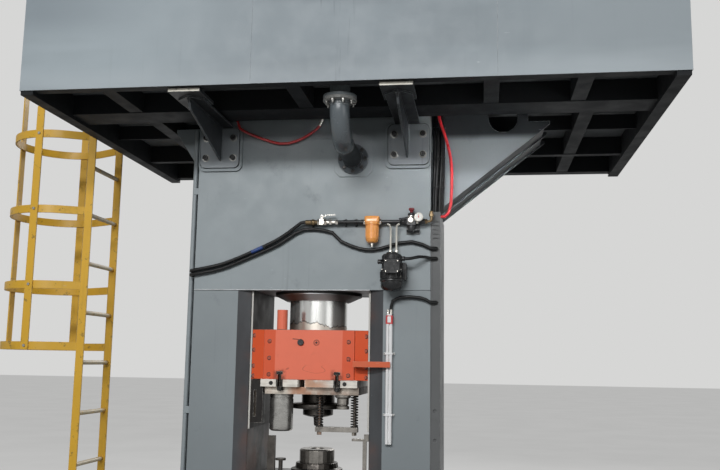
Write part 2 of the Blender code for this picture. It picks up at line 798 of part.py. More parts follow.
def build_lower_tools():
    bolster_low = BED_TOP + CLEAR
    bolster_top = bolster_low + BOLSTER_T
    edge = HALF_WINDOW - 0.006
    bolster = block("bolster_plate", (-edge, -0.27, bolster_low), (edge, 0.27, bolster_top))
    hole_r = EJECTOR_ROD_R + 0.001
    hole = rod("bolster_hole", hole_r, (0, UPPER_DIE_Y, 0.8), (0, UPPER_DIE_Y, 1.2), CUTTERS, 12)
    cut(bolster, hole)
    finish(bolster, DARK_STEEL)
    holder_low = bolster_top + CLEAR
    holder_top = holder_low + DIE_HOLDER_H
    holder_profile = (
        (hole_r, holder_top),
        (0.125, holder_top),
        (0.130, holder_top - 0.03),
        (DIE_HOLDER_R, holder_top - 0.035),
        (DIE_HOLDER_R, holder_low),
        (hole_r, holder_low),
    )
    finish(turned("lower_die_holder", holder_profile, (0, UPPER_DIE_Y, 0), steps=24), DARK_STEEL)
    die_low = holder_top + CLEAR
    die_top = die_low + LOWER_DIE_H
    die_profile = (
        (0.045, die_top),
        (LOWER_DIE_R - 0.008, die_top),
        (LOWER_DIE_R, die_top - 0.008),
        (LOWER_DIE_R, die_low),
        (hole_r, die_low),
        (hole_r, die_top - 0.045),
        (0.036, die_top - 0.040),
    )
    finish(turned("lower_die", die_profile, (0, UPPER_DIE_Y, 0), steps=24), STEEL)

    body_top = BED_TOP - 0.006
    body_profile = (
        (0, 0.42),
        (EJECTOR_ROD_R + CLEAR, 0.42),
        (EJECTOR_ROD_R + CLEAR, body_top),
        (EJECTOR_BODY_R, body_top),
        (EJECTOR_BODY_R, BED_TOP - 0.081),
        (0.085, BED_TOP - 0.081),
        (0.085, BED_TOP - 0.101),
        (EJECTOR_BODY_R, BED_TOP - 0.101),
        (EJECTOR_BODY_R, 0.36),
        (0, 0.36),
    )
    cylinder = turned("ejector_cylinder", body_profile, (0, UPPER_DIE_Y, 0), steps=16)
    finish(cylinder, SLATE_DARK)
    rod_top = die_top - 0.050
    rod_profile = (
        (0, rod_top),
        (EJECTOR_ROD_R - 0.003, rod_top),
        (EJECTOR_ROD_R, rod_top - 0.003),
        (EJECTOR_ROD_R, 0.46),
        (0, 0.46),
    )
    ejector = turned("ejector_rod", rod_profile, (0, UPPER_DIE_Y, 0), steps=16)
    finish(ejector, CHROME)
    pivot("ejector_lift", (0, UPPER_DIE_Y, rod_top), ejector)

    post_x = -0.212
    post = block(
        "tool_post",
        (post_x - 0.022, -0.25, bolster_top + CLEAR),
        (post_x + 0.022, -0.225, 1.165),
    )
    foot = block(
        "tool_post_foot",
        (post_x - 0.06, -0.262, bolster_top + CLEAR),
        (post_x + 0.05, -0.20, bolster_top + 0.02),
        CUTTERS,
    )
    disc = rod(
        "tool_post_disc",
        0.030,
        (post_x + 0.055, -0.235, 1.028),
        (post_x + 0.055, -0.235, 1.040),
        CUTTERS,
        16,
    )
    disc_stem = rod(
        "tool_post_stem",
        0.012,
        (post_x + 0.055, -0.235, bolster_top + 0.002),
        (post_x + 0.055, -0.235, 1.03),
        CUTTERS,
        10,
    )
    disc_base = block(
        "tool_post_base",
        (post_x, -0.256, bolster_top + CLEAR),
        (post_x + 0.085, -0.206, bolster_top + 0.014),
        CUTTERS,
    )
    finish(fuse(post, foot, disc_base, disc_stem, disc), DARK_STEEL)

    hook = plate(
        "tool_bracket",
        [
            (0.255, 1.146),
            (0.352, 1.146),
            (0.352, 1.186),
            (0.325, 1.186),
            (0.325, 1.160),
            (0.255, 1.160),
        ],
        -0.252,
        -0.238,
        "XZ",
    )
    leg = block(
        "tool_bracket_leg",
        (0.318, -0.252, bolster_top + CLEAR),
        (0.340, -0.238, 1.150),
        CUTTERS,
    )
    finish(fuse(hook, leg), WHITE)


def build_struts():
    for side, sign in (("left", -1), ("right", 1)):
        wall = FRONT - CLEAR
        face = wall - STRUT_PLATE_T
        centre_x = sign * 0.570
        half = STRUT_PLATE_W / 2
        round_r = 0.03
        low = STRUT_PLATE_Z
        high = STRUT_PLATE_Z + STRUT_PLATE_H
        outline = (
            arc((centre_x + half - round_r, low + round_r), round_r, -90, 0, 3)
            + arc((centre_x + half - round_r, high - round_r), round_r, 0, 90, 3)
            + arc((centre_x - half + round_r, high - round_r), round_r, 90, 180, 3)
            + arc((centre_x - half + round_r, low + round_r), round_r, 180, 270, 3)
        )
        base = plate(f"{side}_strut", outline, face, wall, "XZ")
        x = sign * STRUT_X
        flange_top = UNDERSIDE_Z - CLEAR - 0.018
        web = plate(
            f"{side}_strut_web",
            [
                (face + JOIN, STRUT_FOOT_Z),
                (face + JOIN, flange_top - 0.004),
                (STRUT_NOSE_Y + 0.006, flange_top - 0.004),
                (STRUT_NOSE_Y + 0.055, STRUT_WEB_KINK_Z),
            ],
            x - STRUT_WEB_T / 2,
            x + STRUT_WEB_T / 2,
            "YZ",
            CUTTERS,
        )
        wing = STRUT_FLANGE_W / 2
        flange = plate(
            f"{side}_strut_flange",
            [
                (x - wing, face + 0.004),
                (x - wing, STRUT_NOSE_Y + 0.065),
                (x, STRUT_NOSE_Y),
                (x + wing, STRUT_NOSE_Y + 0.065),
                (x + wing, face + 0.004),
            ],
            flange_top - 0.012,
            flange_top,
            "XY",
            CUTTERS,
        )
        seat = block(
            f"{side}_strut_seat",
            (x - 0.087, DECK_Y[0] + 0.034, flange_top - JOIN),
            (x + 0.087, DECK_Y[0] + 0.28, UNDERSIDE_Z - CLEAR),
            CUTTERS,
        )
        bolts = []
        for column in (-0.084, 0.084):
            for row in (0.060, 0.182):
                bolts.append(
                    rod(
                        f"{side}_strut_bolt_{column}_{row}",
                        0.017,
                        (centre_x + column, face - 0.014, low + row),
                        (centre_x + column, face + JOIN, low + row),
                        CUTTERS,
                        6,
                    )
                )
        finish(fuse(base, web, flange, seat, *bolts), SLATE)


def build_oil_pipe():
    wall = FRONT - PAD_T - CLEAR
    axis_z = PIPE_WALL_Z
    bend_y = PIPE_TOP_Y + PIPE_BEND_R
    bend_z = axis_z + PIPE_BEND_R
    top_z = UNDERSIDE_Z - 0.028
    route = [(PIPE_X, wall - 0.002, axis_z), (PIPE_X, bend_y, axis_z)]
    for y, z in arc((bend_y, bend_z), PIPE_BEND_R, 270, 180, 8)[1:]:
        route.append((PIPE_X, y, z))
    route.append((PIPE_X, PIPE_TOP_Y, top_z - 0.002))
    elbow = pipe("oil_pipe_elbow", route, PIPE_R, resolution=6)
    wall_flange = rod(
        "elbow_wall_flange",
        PIPE_FLANGE_R,
        (PIPE_X, wall - PIPE_FLANGE_T, axis_z),
        (PIPE_X, wall, axis_z),
        CUTTERS,
        32,
    )
    top_flange = rod(
        "elbow_top_flange",
        PIPE_FLANGE_R,
        (PIPE_X, PIPE_TOP_Y, top_z - PIPE_FLANGE_T),
        (PIPE_X, PIPE_TOP_Y, top_z),
        CUTTERS,
        32,
    )
    bolts = bolt_ring(
        "elbow_wall_bolt",
        (PIPE_X, axis_z),
        0.073,
        8,
        0.011,
        wall - PIPE_FLANGE_T - 0.010,
        wall - 0.004,
    )
    for number in range(8):
        angle = 2 * math.pi * (number + 0.5) / 8
        x = PIPE_X + 0.073 * math.cos(angle)
        y = PIPE_TOP_Y + 0.073 * math.sin(angle)
        bolts.append(
            rod(
                f"elbow_top_bolt_{number}",
                0.011,
                (x, y, top_z - PIPE_FLANGE_T - 0.012),
                (x, y, top_z - 0.004),
                CUTTERS,
                6,
            )
        )
    finish(fuse(elbow, wall_flange, top_flange, *bolts), SLATE)

    tank = block("oil_tank", TANK_LOW, TANK_HIGH)
    stub = rod(
        "tank_stub",
        PIPE_R,
        (PIPE_X, PIPE_TOP_Y, top_z + CLEAR),
        (PIPE_X, PIPE_TOP_Y, TANK_LOW[2] + 0.01),
        CUTTERS,
        24,
    )
    stub_flange = rod(
        "tank_stub_flange", PIPE_FLANGE_R, (PIPE_X, PIPE_TOP_Y, top_z + CLEAR), (
            PIPE_X,
            PIPE_TOP_Y,
            top_z + PIPE_FLANGE_T,
        ), CUTTERS, 32
    )
    lid = block(
        "tank_lid",
        (TANK_LOW[0] - 0.02, TANK_LOW[1] - 0.015, TANK_HIGH[2] - JOIN),
        (TANK_HIGH[0] + 0.02, TANK_HIGH[1] + 0.015, TANK_HIGH[2] + 0.008),
        CUTTERS,
    )
    filler = rod(
        "tank_filler",
        0.05,
        (0.75, -0.62, TANK_HIGH[2]),
        (0.75, -0.62, TANK_HIGH[2] + 0.07),
        CUTTERS,
        16,
    )
    manhole = rod(
        "tank_manhole",
        0.19,
        (0.0, -0.68, TANK_HIGH[2]),
        (0.0, -0.68, TANK_HIGH[2] + 0.022),
        CUTTERS,
        24,
    )
    finish(fuse(tank, stub, stub_flange, lid, filler, manhole), SLATE)


def bracket_outline(reach, tip_z, top_z, foot_z):
    """A triangular rib from the frame's side out under the platform."""
    side = HALF_W + CLEAR
    slope = (top_z - tip_z) / reach
    foot_x = side + (foot_z - tip_z) / slope
    return [
        (side, foot_z),
        (foot_x, foot_z),
        (side + reach, top_z - 0.018),
        (side + reach, top_z),
        (side, top_z),
    ]


def build_brackets():
    top_z = UNDERSIDE_Z - CLEAR
    for side, reach, tip_drop, foot_drop, ribs in (
        ("right", 0.690, 0.562, 0.533, (FRONT + RIB_INSET, 0.050, BACK - 0.025)),
        ("left", 0.190, 0.311, 0.288, (FRONT + RIB_INSET, BACK - 0.025)),
    ):
        turn = mirrored if side == "left" else list
        tip_z = UNDERSIDE_Z - tip_drop
        foot_z = UNDERSIDE_Z - foot_drop
        outline = bracket_outline(reach, tip_z, top_z, foot_z)
        body = None
        for number, y in enumerate(ribs):
            holder = PARTS if body is None else CUTTERS
            name = f"{side}_bracket" if body is None else f"{side}_bracket_rib_{number}"
            rib = plate(name, turn(outline), y, y + 0.012, "XZ", holder)
            body = fuse(body, rib) if body else rib
        slope = (top_z - tip_z) / reach
        inset = 0.012
        face = [
            (outline[1][0] - 0.004, outline[1][1] + inset),
            (outline[2][0] - 0.030, outline[2][1] - 0.030 * slope + inset),
            (outline[2][0] - 0.030, outline[2][1] - 0.030 * slope + inset + 0.012),
            (outline[1][0] - 0.004, outline[1][1] + inset + 0.012),
        ]
        sloped = plate(
            f"{side}_bracket_face",
            turn(face),
            ribs[0] + JOIN,
            ribs[-1] + 0.010,
            "XZ",
            CUTTERS,
        )
        fuse(body, sloped)
        if side == "right":
            collar = block(
                "bracket_collar",
                (outline[0][0], ribs[0], top_z - 0.02),
                (1.265, ribs[0] + 0.012, BEAM_TOP - 0.002),
                CUTTERS,
            )
            fuse(body, collar)
            hole = rod(
                "bracket_hole",
                0.085,
                (1.120, ribs[0] - 0.1, UNDERSIDE_Z + 0.022),
                (1.120, ribs[0] + 0.1, UNDERSIDE_Z + 0.022),
                CUTTERS,
                28,
            )
            cut(body, hole)
        finish(body, SLATE)


def beam(name, low, high):
    return block(name, low, high, CUTTERS)


def build_platform():
    left, right = DECK_X
    front, back = DECK_Y
    inner = FASCIA_T + CLEAR
    edge_left = (left + inner, left + inner + EDGE_BEAM_W)
    edge_right = (right - inner - EDGE_BEAM_W, right - inner)
    edge_front = (front + inner, front + inner + EDGE_BEAM_W)
    edge_back = (back - inner - EDGE_BEAM_W, back - inner)
    low = UNDERSIDE_Z
    frame = block(
        "platform_frame",
        (edge_left[0] + 0.001, edge_front[0], low + 0.002),
        (edge_right[1] - 0.001, edge_front[1], BEAM_TOP),
    )
    pieces = [
        beam(
            "frame_left",
            (edge_left[0], front + inner + 0.002, low - SIDE_BEAM_DROP),
            (edge_left[1], back - inner - 0.002, BEAM_TOP - 0.001),
        ),
        beam(
            "frame_right",
            (edge_right[0], front + inner + 0.002, low - SIDE_BEAM_DROP),
            (edge_right[1], back - inner - 0.002, BEAM_TOP - 0.001),
        ),
        beam(
            "frame_back",
            (edge_left[0] + 0.002, edge_back[0], low + 0.002),
            (edge_right[1] - 0.002, edge_back[1], BEAM_TOP - 0.002),
        ),
        beam(
            "frame_cross_front",
            (left + 0.03, CROSS_BEAM_Y[0], low),
            (right - 0.03, CROSS_BEAM_Y[1], BEAM_TOP - 0.003),
        ),
        beam(
            "frame_cross_back",
            (left + 0.03, REAR_CROSS_Y[0], low + 0.001),
            (right - 0.03, REAR_CROSS_Y[1], BEAM_TOP - 0.004),
        ),
    ]
    for number, x in enumerate(FRONT_JOISTS_X):
        pieces.append(
            beam(
                f"frame_front_joist_{number}",
                (x - JOIST_W / 2, front + 0.03, low + 0.004),
                (x + JOIST_W / 2, CROSS_BEAM_Y[0] + 0.03, BEAM_TOP - 0.005),
            )
        )
    for number, x in enumerate(REAR_JOISTS_X):
        pieces.append(
            beam(
                f"frame_joist_{number}",
                (x - JOIST_W / 2, CROSS_BEAM_Y[1] - 0.03, low + 0.005),
                (x + JOIST_W / 2, back - 0.03, BEAM_TOP - 0.006),
            )
        )
    reach = HALF_W + 0.001
    spans = (
        (left + 0.03, REAR_JOISTS_X[0]),
        (REAR_JOISTS_X[0], -reach),
        (reach, REAR_JOISTS_X[1]),
        (REAR_JOISTS_X[1], right - 0.03),
    )
    for number, (start, end) in enumerate(spans):
        pieces.append(
            beam(
                f"frame_rib_{number}",
                (start, RIB_Y - RIB_W / 2, low + 0.020),
                (end, RIB_Y + RIB_W / 2, BEAM_TOP - 0.007),
            )
        )
    finish(fuse(frame, *pieces), SLATE_DARK)

    deck = block(
        "deck_plate",
        (left + inner, front + inner, DECK_Z),
        (right - inner, back - inner, DECK_TOP),
    )
    cylinder_hole = rod(
        "deck_cylinder_hole",
        CYLINDER_R + 0.012,
        (0, 0, DECK_Z - 0.05),
        (0, 0, DECK_Z + 0.05),
        CUTTERS,
        24,
    )
    pipe_hole = rod(
        "deck_pipe_hole",
        PIPE_R + 0.010,
        (PIPE_X, PIPE_TOP_Y, DECK_Z - 0.05),
        (PIPE_X, PIPE_TOP_Y, DECK_Z + 0.05),
        CUTTERS,
        20,
    )
    finish(cut(deck, cylinder_hole, pipe_hole), SLATE_DARK)

    low = UNDERSIDE_Z
    high = UNDERSIDE_Z + FASCIA_H
    seam_left, seam_right = FASCIA_SEAMS
    spans = (
        ("fascia_left", left, seam_left - CLEAR / 2),
        ("fascia_centre", seam_left + CLEAR / 2, seam_right - CLEAR / 2),
        ("fascia_right", seam_right + CLEAR / 2, right),
    )
    for name, start, end in spans:
        panel = block(name, (start, front, low), (end, front + FASCIA_T, high))
        lip = block(
            f"{name}_lip",
            (start + 0.001, front + 0.001, high - FASCIA_T),
            (end - 0.001, front + FASCIA_LIP, high - 0.0005),
            CUTTERS,
        )
        fuse(panel, lip)
        if name == "fascia_left":
            fuse(panel, *fascia_side("left", left, FASCIA_T, LADDER_Y[0] - LADDER_GATE))
        if name == "fascia_right":
            fuse(panel, *fascia_side("right", right - FASCIA_T, FASCIA_T, back - 0.001))
            rear = block(
                "fascia_rear",
                (left, back - FASCIA_T, low),
                (right - 0.0005, back, high - 0.002),
                CUTTERS,
            )
            lip = block(
                "fascia_rear_lip",
                (left + 0.001, back - FASCIA_LIP, high - FASCIA_T - 0.002),
                (right - 0.002, back - 0.001, high - 0.0025),
                CUTTERS,
            )
            turn = block(
                "fascia_rear_return",
                (left + 0.0005, LADDER_Y[1] + LADDER_GATE, low),
                (left + FASCIA_T, back - 0.001, high - 0.003),
                CUTTERS,
            )
            fuse(panel, rear, lip, turn)
        finish(panel, FASCIA_GREY)


def fascia_side(side, start, thick, end_y):
    """The panel's return along the platform's side, with its folded lip."""
    low = UNDERSIDE_Z
    high = UNDERSIDE_Z + FASCIA_H
    wall = block(
        f"fascia_{side}_side",
        (start, DECK_Y[0] + 0.001, low),
        (start + thick, end_y, high - 0.001),
        CUTTERS,
    )
    inward = FASCIA_LIP if side == "left" else -FASCIA_LIP
    edges = sorted((start + thick / 2, start + thick / 2 + inward))
    lip = block(
        f"fascia_{side}_side_lip",
        (edges[0], DECK_Y[0] + 0.002, high - FASCIA_T - 0.001),
        (edges[1], end_y - 0.001, high - 0.0015),
        CUTTERS,
    )
    return [wall, lip]


def build_air_line():
    wall = FRONT - CLEAR
    y = AIR_Y
    z = AIR_Z
    valve = rod("ball_valve", 0.016, (0.046, y, z), (0.094, y, z), sides=8)
    fitting = rod("valve_fitting", 0.013, (-0.026, y, z), (0.048, y, z), CUTTERS, 6)
    ball = rod("valve_body", 0.021, (0.056, y, z), (0.084, y, z), CUTTERS, 10)
    stem = rod("valve_stem", 0.007, (0.070, y, z), (0.070, y, z + 0.034), CUTTERS, 8)
    clip = block("valve_clip", (0.004, y - 0.004, z - 0.018), (0.020, wall, z + 0.018), CUTTERS)
    run = rod("air_pipe", AIR_PIPE_R, (0.090, y, z), (FILTER_X - 0.052 - CLEAR, y, z), CUTTERS, 10)
    run_clip = block("air_pipe_clip", (0.20, y - 0.002, z - 0.015), (0.214, wall, z + 0.015), CUTTERS)
    finish(fuse(valve, fitting, ball, stem, clip, run, run_clip), BRASS)
    lever_z = z + 0.034 + CLEAR
    lever = plate(
        "valve_lever",
        [
            (0.060, y - 0.008),
            (0.092, y - 0.008),
            (0.104, y - 0.006),
            (0.150, y - 0.007),
            (0.150, y + 0.007),
            (0.104, y + 0.006),
            (0.092, y + 0.008),
            (0.060, y + 0.008),
        ],
        lever_z,
        lever_z + 0.004,
    )
    finish(lever, STEEL)
    pivot("valve_lever_pivot", (0.070, y, lever_z), lever)

    head = block(
        "air_filter",
        (FILTER_X - 0.043, y - 0.036, z - 0.012),
        (FILTER_X + 0.043, y + 0.024, z + 0.030),
    )
    bowl = rod(
        "filter_bowl",
        0.037,
        (FILTER_X, y - 0.006, z - 0.118),
        (FILTER_X, y - 0.006, z - 0.010),
        CUTTERS,
        16,
    )
    bowl_end = rod(
        "filter_bowl_end",
        0.026,
        (FILTER_X, y - 0.006, z - 0.132),
        (FILTER_X, y - 0.006, z - 0.116),
        CUTTERS,
        16,
    )
    drain = rod(
        "filter_drain",
        0.008,
        (FILTER_X, y - 0.006, z - 0.148),
        (FILTER_X, y - 0.006, z - 0.130),
        CUTTERS,
        8,
    )
    left_nut = rod(
        "filter_left_nut",
        0.016,
        (FILTER_X - 0.052, y, z),
        (FILTER_X - 0.040, y, z),
        CUTTERS,
        8,
    )
    right_nut = rod(
        "filter_right_nut",
        0.016,
        (FILTER_X + 0.040, y, z),
        (FILTER_X + 0.052, y, z),
        CUTTERS,
        8,
    )
    clip = block(
        "filter_clip",
        (FILTER_X - 0.012, y, z - 0.008),
        (FILTER_X + 0.012, wall, z + 0.024),
        CUTTERS,
    )
    finish(fuse(head, bowl, bowl_end, drain, left_nut, right_nut, clip), FILTER_ORANGE)

    body = block(
        "air_regulator",
        (REGULATOR_X - 0.030, y - 0.022, z - 0.026),
        (REGULATOR_X + 0.028, y + 0.022, z + 0.024),
    )
    inlet = rod(
        "regulator_inlet",
        AIR_PIPE_R,
        (FILTER_X + 0.052 + CLEAR, y, z),
        (REGULATOR_X - 0.020, y, z),
        CUTTERS,
        10,
    )
    collar = rod(
        "regulator_collar",
        0.022,
        (REGULATOR_X, y, z + 0.022),
        (REGULATOR_X, y, z + 0.052),
        CUTTERS,
        12,
    )
    cup = rod(
        "regulator_cup",
        0.018,
        (REGULATOR_X, y, z - 0.060),
        (REGULATOR_X, y, z - 0.024),
        CUTTERS,
        12,
    )
    clip = block(
        "regulator_clip",
        (REGULATOR_X - 0.030, y + 0.010, z - 0.050),
        (REGULATOR_X + 0.045, wall, z - 0.044),
        CUTTERS,
    )
    clip_back = block(
        "regulator_clip_back",
        (REGULATOR_X - 0.030, wall - 0.006, z - 0.070),
        (REGULATOR_X + 0.045, wall, z - 0.012),
        CUTTERS,
    )
    clip_arm = block(
        "regulator_clip_arm",
        (REGULATOR_X - 0.02, y + 0.018, z - 0.020),
        (REGULATOR_X + 0.018, wall - 0.002, z - 0.014),
        CUTTERS,
    )
    gauge = rod(
        "gauge_case",
        0.026,
        (GAUGE_X, y - 0.012, z + 0.020),
        (GAUGE_X, y - 0.048, z + 0.020),
        CUTTERS,
        20,
    )
    gauge_neck = rod(
        "gauge_neck",
        0.010,
        (REGULATOR_X + 0.020, y - 0.014, z + 0.004),
        (GAUGE_X, y - 0.030, z + 0.014),
        CUTTERS,
        8,
    )
    dial = rod(
        "gauge_dial_recess",
        0.022,
        (GAUGE_X, y - 0.044, z + 0.020),
        (GAUGE_X, y - 0.06, z + 0.020),
        CUTTERS,
        20,
    )
    needle_pin = rod(
        "gauge_pin",
        0.003,
        (GAUGE_X, y - 0.040, z + 0.020),
        (GAUGE_X, y - 0.0475, z + 0.020),
        CUTTERS,
        8,
    )
    outlet = rod(
        "regulator_outlet",
        0.012,
        (REGULATOR_X + 0.026, y, z),
        (HALF_W - 0.006, y, z),
        CUTTERS,
        10,
    )
    elbow = rod(
        "outlet_elbow",
        0.016,
        (HALF_W - 0.012, y - 0.002, z),
        (HALF_W + 0.016, y - 0.002, z),
        CUTTERS,
        8,
    )
    drop = rod(
        "outlet_drop",
        0.013,
        (HALF_W + 0.004, y - 0.002, z + 0.006),
        (HALF_W + 0.004, y - 0.002, z - 0.045),
        CUTTERS,
        8,
    )
    fuse(body, inlet, collar, cup, clip_back, clip, clip_arm, gauge, gauge_neck)
    finish(fuse(cut(body, dial), needle_pin, outlet, elbow, drop), BLACK)
    knob = rod(
        "regulator_knob",
        0.021,
        (REGULATOR_X, y, z + 0.052 + CLEAR),
        (REGULATOR_X, y, z + 0.080),
        sides=12,
        tip_radius=0.018,
    )
    finish(knob, RED)
    pivot("regulator_knob_pivot", (REGULATOR_X, y, z + 0.052), knob)
    face = y - 0.0475 - CLEAR
    needle = plate(
        "gauge_needle",
        [
            (GAUGE_X - 0.004, z + 0.017),
            (GAUGE_X, z + 0.012),
            (GAUGE_X + 0.004, z + 0.017),
            (GAUGE_X + 0.0015, z + 0.030),
            (GAUGE_X, z + 0.038),
            (GAUGE_X - 0.0015, z + 0.030),
        ],
        face - 0.0012,
        face,
        "XZ",
    )
    finish(needle, RED)
    pivot("gauge_needle_pivot", (GAUGE_X, face, z + 0.020), needle)


def build_lube_pump():
    wall = FRONT - CLEAR
    x = PUMP_X
    y = FRONT - PUMP_OUT
    profile = (
        (0, 2.110),
        (0.060, 2.110),
        (0.068, 2.102),
        (0.068, 2.052),
        (0.062, 2.040),
        (0.062, 2.012),
        (0.045, 1.990),
        (0, 1.984),
    )
    body = turned("lube_pump", profile, (x, y, 0), steps=20)
    upper = rod("pump_upper", 0.052, (x, y, 2.100), (x, y, 2.205), CUTTERS, 16)
    bracket = block("pump_bracket", (x - 0.04, y + 0.03, 2.06), (x + 0.04, wall, 2.13), CUTTERS)
    back = block("pump_back", (x - 0.055, wall - 0.008, 2.02), (x + 0.055, wall, 2.17), CUTTERS)
    outlet = block(
        "pump_outlet",
        (x - 0.036, y + 0.02, 2.150),
        (x + 0.038, AIR_Y + 0.012, 2.186),
        CUTTERS,
    )
    gland = rod("pump_gland", 0.014, (x + 0.040, y, 2.170), (x + 0.076, y, 2.170), CUTTERS, 8)
    plug = rod(
        "pump_plug",
        0.014,
        (x - 0.080, y - 0.020, 2.150),
        (x - 0.035, y - 0.020, 2.150),
        CUTTERS,
        8,
    )
    half = 0.048
    corner = 0.018
    z = 2.143
    outline = [
        (x - half, z - half + corner),
        (x - half + corner, z - half),
        (x + half - corner, z - half),
        (x + half, z - half + corner),
        (x + half, z + half - corner),
        (x + half - corner, z + half),
        (x - half + corner, z + half),
        (x - half, z + half - corner),
    ]
    box = plate("pump_terminal_box", outline, y - 0.095, y - 0.030, "XZ", CUTTERS)
    parts = [upper, bracket, back, outlet, gland, plug, box]
    top = AIR_Z - AIR_PIPE_R - CLEAR
    for number, offset in enumerate((-0.016, 0.018)):
        parts.append(
            rod(
                f"pump_nut_{number}",
                0.011,
                (x + offset, AIR_Y, 2.18),
                (x + offset, AIR_Y, 2.232),
                CUTTERS,
                6,
            )
        )
        parts.append(
            rod(
                f"pump_tube_{number}",
                0.006,
                (x + offset, AIR_Y, 2.225),
                (x + offset, AIR_Y, top),
                CUTTERS,
                8,
            )
        )
    finish(fuse(body, *parts), BLACK)


def build_transducer():
    wall = FRONT + COLUMN_SET_BACK - CLEAR
    half = 0.0175
    x = 0.4685
    low = 1.140
    high = 1.815
    body = plate(
        "position_transducer",
        [
            (x - half, wall),
            (x + half, wall),
            (x + half, wall - 0.028),
            (x + half - 0.009, wall - 0.032),
            (x + 0.004, wall - 0.032),
            (x + 0.003, wall - 0.026),
            (x - 0.003, wall - 0.026),
            (x - 0.004, wall - 0.032),
            (x - half + 0.009, wall - 0.032),
            (x - half, wall - 0.028),
        ],
        low,
        high,
    )
    head = block(
        "transducer_head",
        (x - half - 0.002, wall - 0.032, high - JOIN),
        (x + half + 0.002, wall, high + 0.050),
        CUTTERS,
    )
    plugs = [
        rod(
            f"transducer_plug_{number}",
            0.007,
            (x + offset, wall - 0.016, high + 0.045),
            (x + offset, wall - 0.016, high + 0.074),
            CUTTERS,
            8,
        )
        for number, offset in enumerate((-0.009, 0.009))
    ]
    clamps = [
        block(
            f"transducer_clamp_{number}",
            (x - 0.032, wall - 0.010, z - 0.006),
            (x + 0.032, wall, z + 0.006),
            CUTTERS,
        )
        for number, z in enumerate((1.300, 1.640))
    ]
    finish(fuse(body, head, *plugs, *clamps), WHITE)


def build_ducts():
    side = HALF_W + CLEAR
    duct = block("cable_duct", (side, DUCT_FRONT, 0.10), (side + DUCT_W, 0.21, DUCT_TOP_Z))
    slots = []
    for number in range(5):
        z = DUCT_TOP_Z - 0.06 - number * 0.024
        slots.append(
            block(
                f"duct_slot_{number}",
                (side + 0.012, FRONT - 0.02, z - 0.004),
                (side + 0.044, DUCT_FRONT + 0.008, z + 0.004),
                CUTTERS,
            )
        )
    for number, z in enumerate((1.165, 1.325)):
        slots.append(
            rod(
                f"duct_hole_{number}",
                0.010,
                (side + 0.026, FRONT - 0.02, z),
                (side + 0.026, DUCT_FRONT + 0.008, z),
                CUTTERS,
                10,
            )
        )
    finish(cut(duct, *slots), SLATE)

    top = UNDERSIDE_Z - 0.03
    conduit = rod(
        "side_conduit",
        0.014,
        (-side - 0.036, CONDUIT_Y, 0.10),
        (-side - 0.036, CONDUIT_Y, top),
        sides=10,
    )
    second = rod(
        "side_conduit_second",
        0.010,
        (-side - 0.030, CONDUIT_Y + 0.029, 0.10),
        (-side - 0.030, CONDUIT_Y + 0.029, top),
        CUTTERS,
        10,
    )
    clamps = []
    for number, z in enumerate((0.5, 1.3, CABLE_BLOCK_Z, 2.6)):
        reach = 0.03 if z == CABLE_BLOCK_Z else 0.02
        clamps.append(
            block(
                f"conduit_clamp_{number}",
                (-side - 0.040, CONDUIT_Y - 0.016, z - reach),
                (-side, CONDUIT_Y + 0.042, z + reach),
                CUTTERS,
            )
        )
    finish(fuse(conduit, second, *clamps), SLATE)


def into_duct(x, z, radius):
    """The end of a cable that turns into the duct's front."""
    out = FRONT - radius - 0.008
    return [
        (x - 0.034, out, z),
        (x - 0.014, out + 0.003, z),
        (x - 0.002, out + 0.014 - radius / 2, z),
        (x, DUCT_FRONT - 0.006, z),
        (x, DUCT_FRONT - CLEAR, z),
    ]


def from_side_block(z, radius, out):
    """The start of a cable at the block on the frame's left side, round the corner to the front."""
    side = -HALF_W - 0.0205
    front = FRONT - out
    return [
        (side, CONDUIT_Y - 0.016 - CLEAR, z),
        (side, CONDUIT_Y - 0.026, z),
        (side - 0.003, FRONT + 0.002, z + 0.001),
        (-HALF_W - 0.014, FRONT - 0.017, z + 0.002),
        (-HALF_W + 0.012, front - 0.004, z + 0.005),
    ]


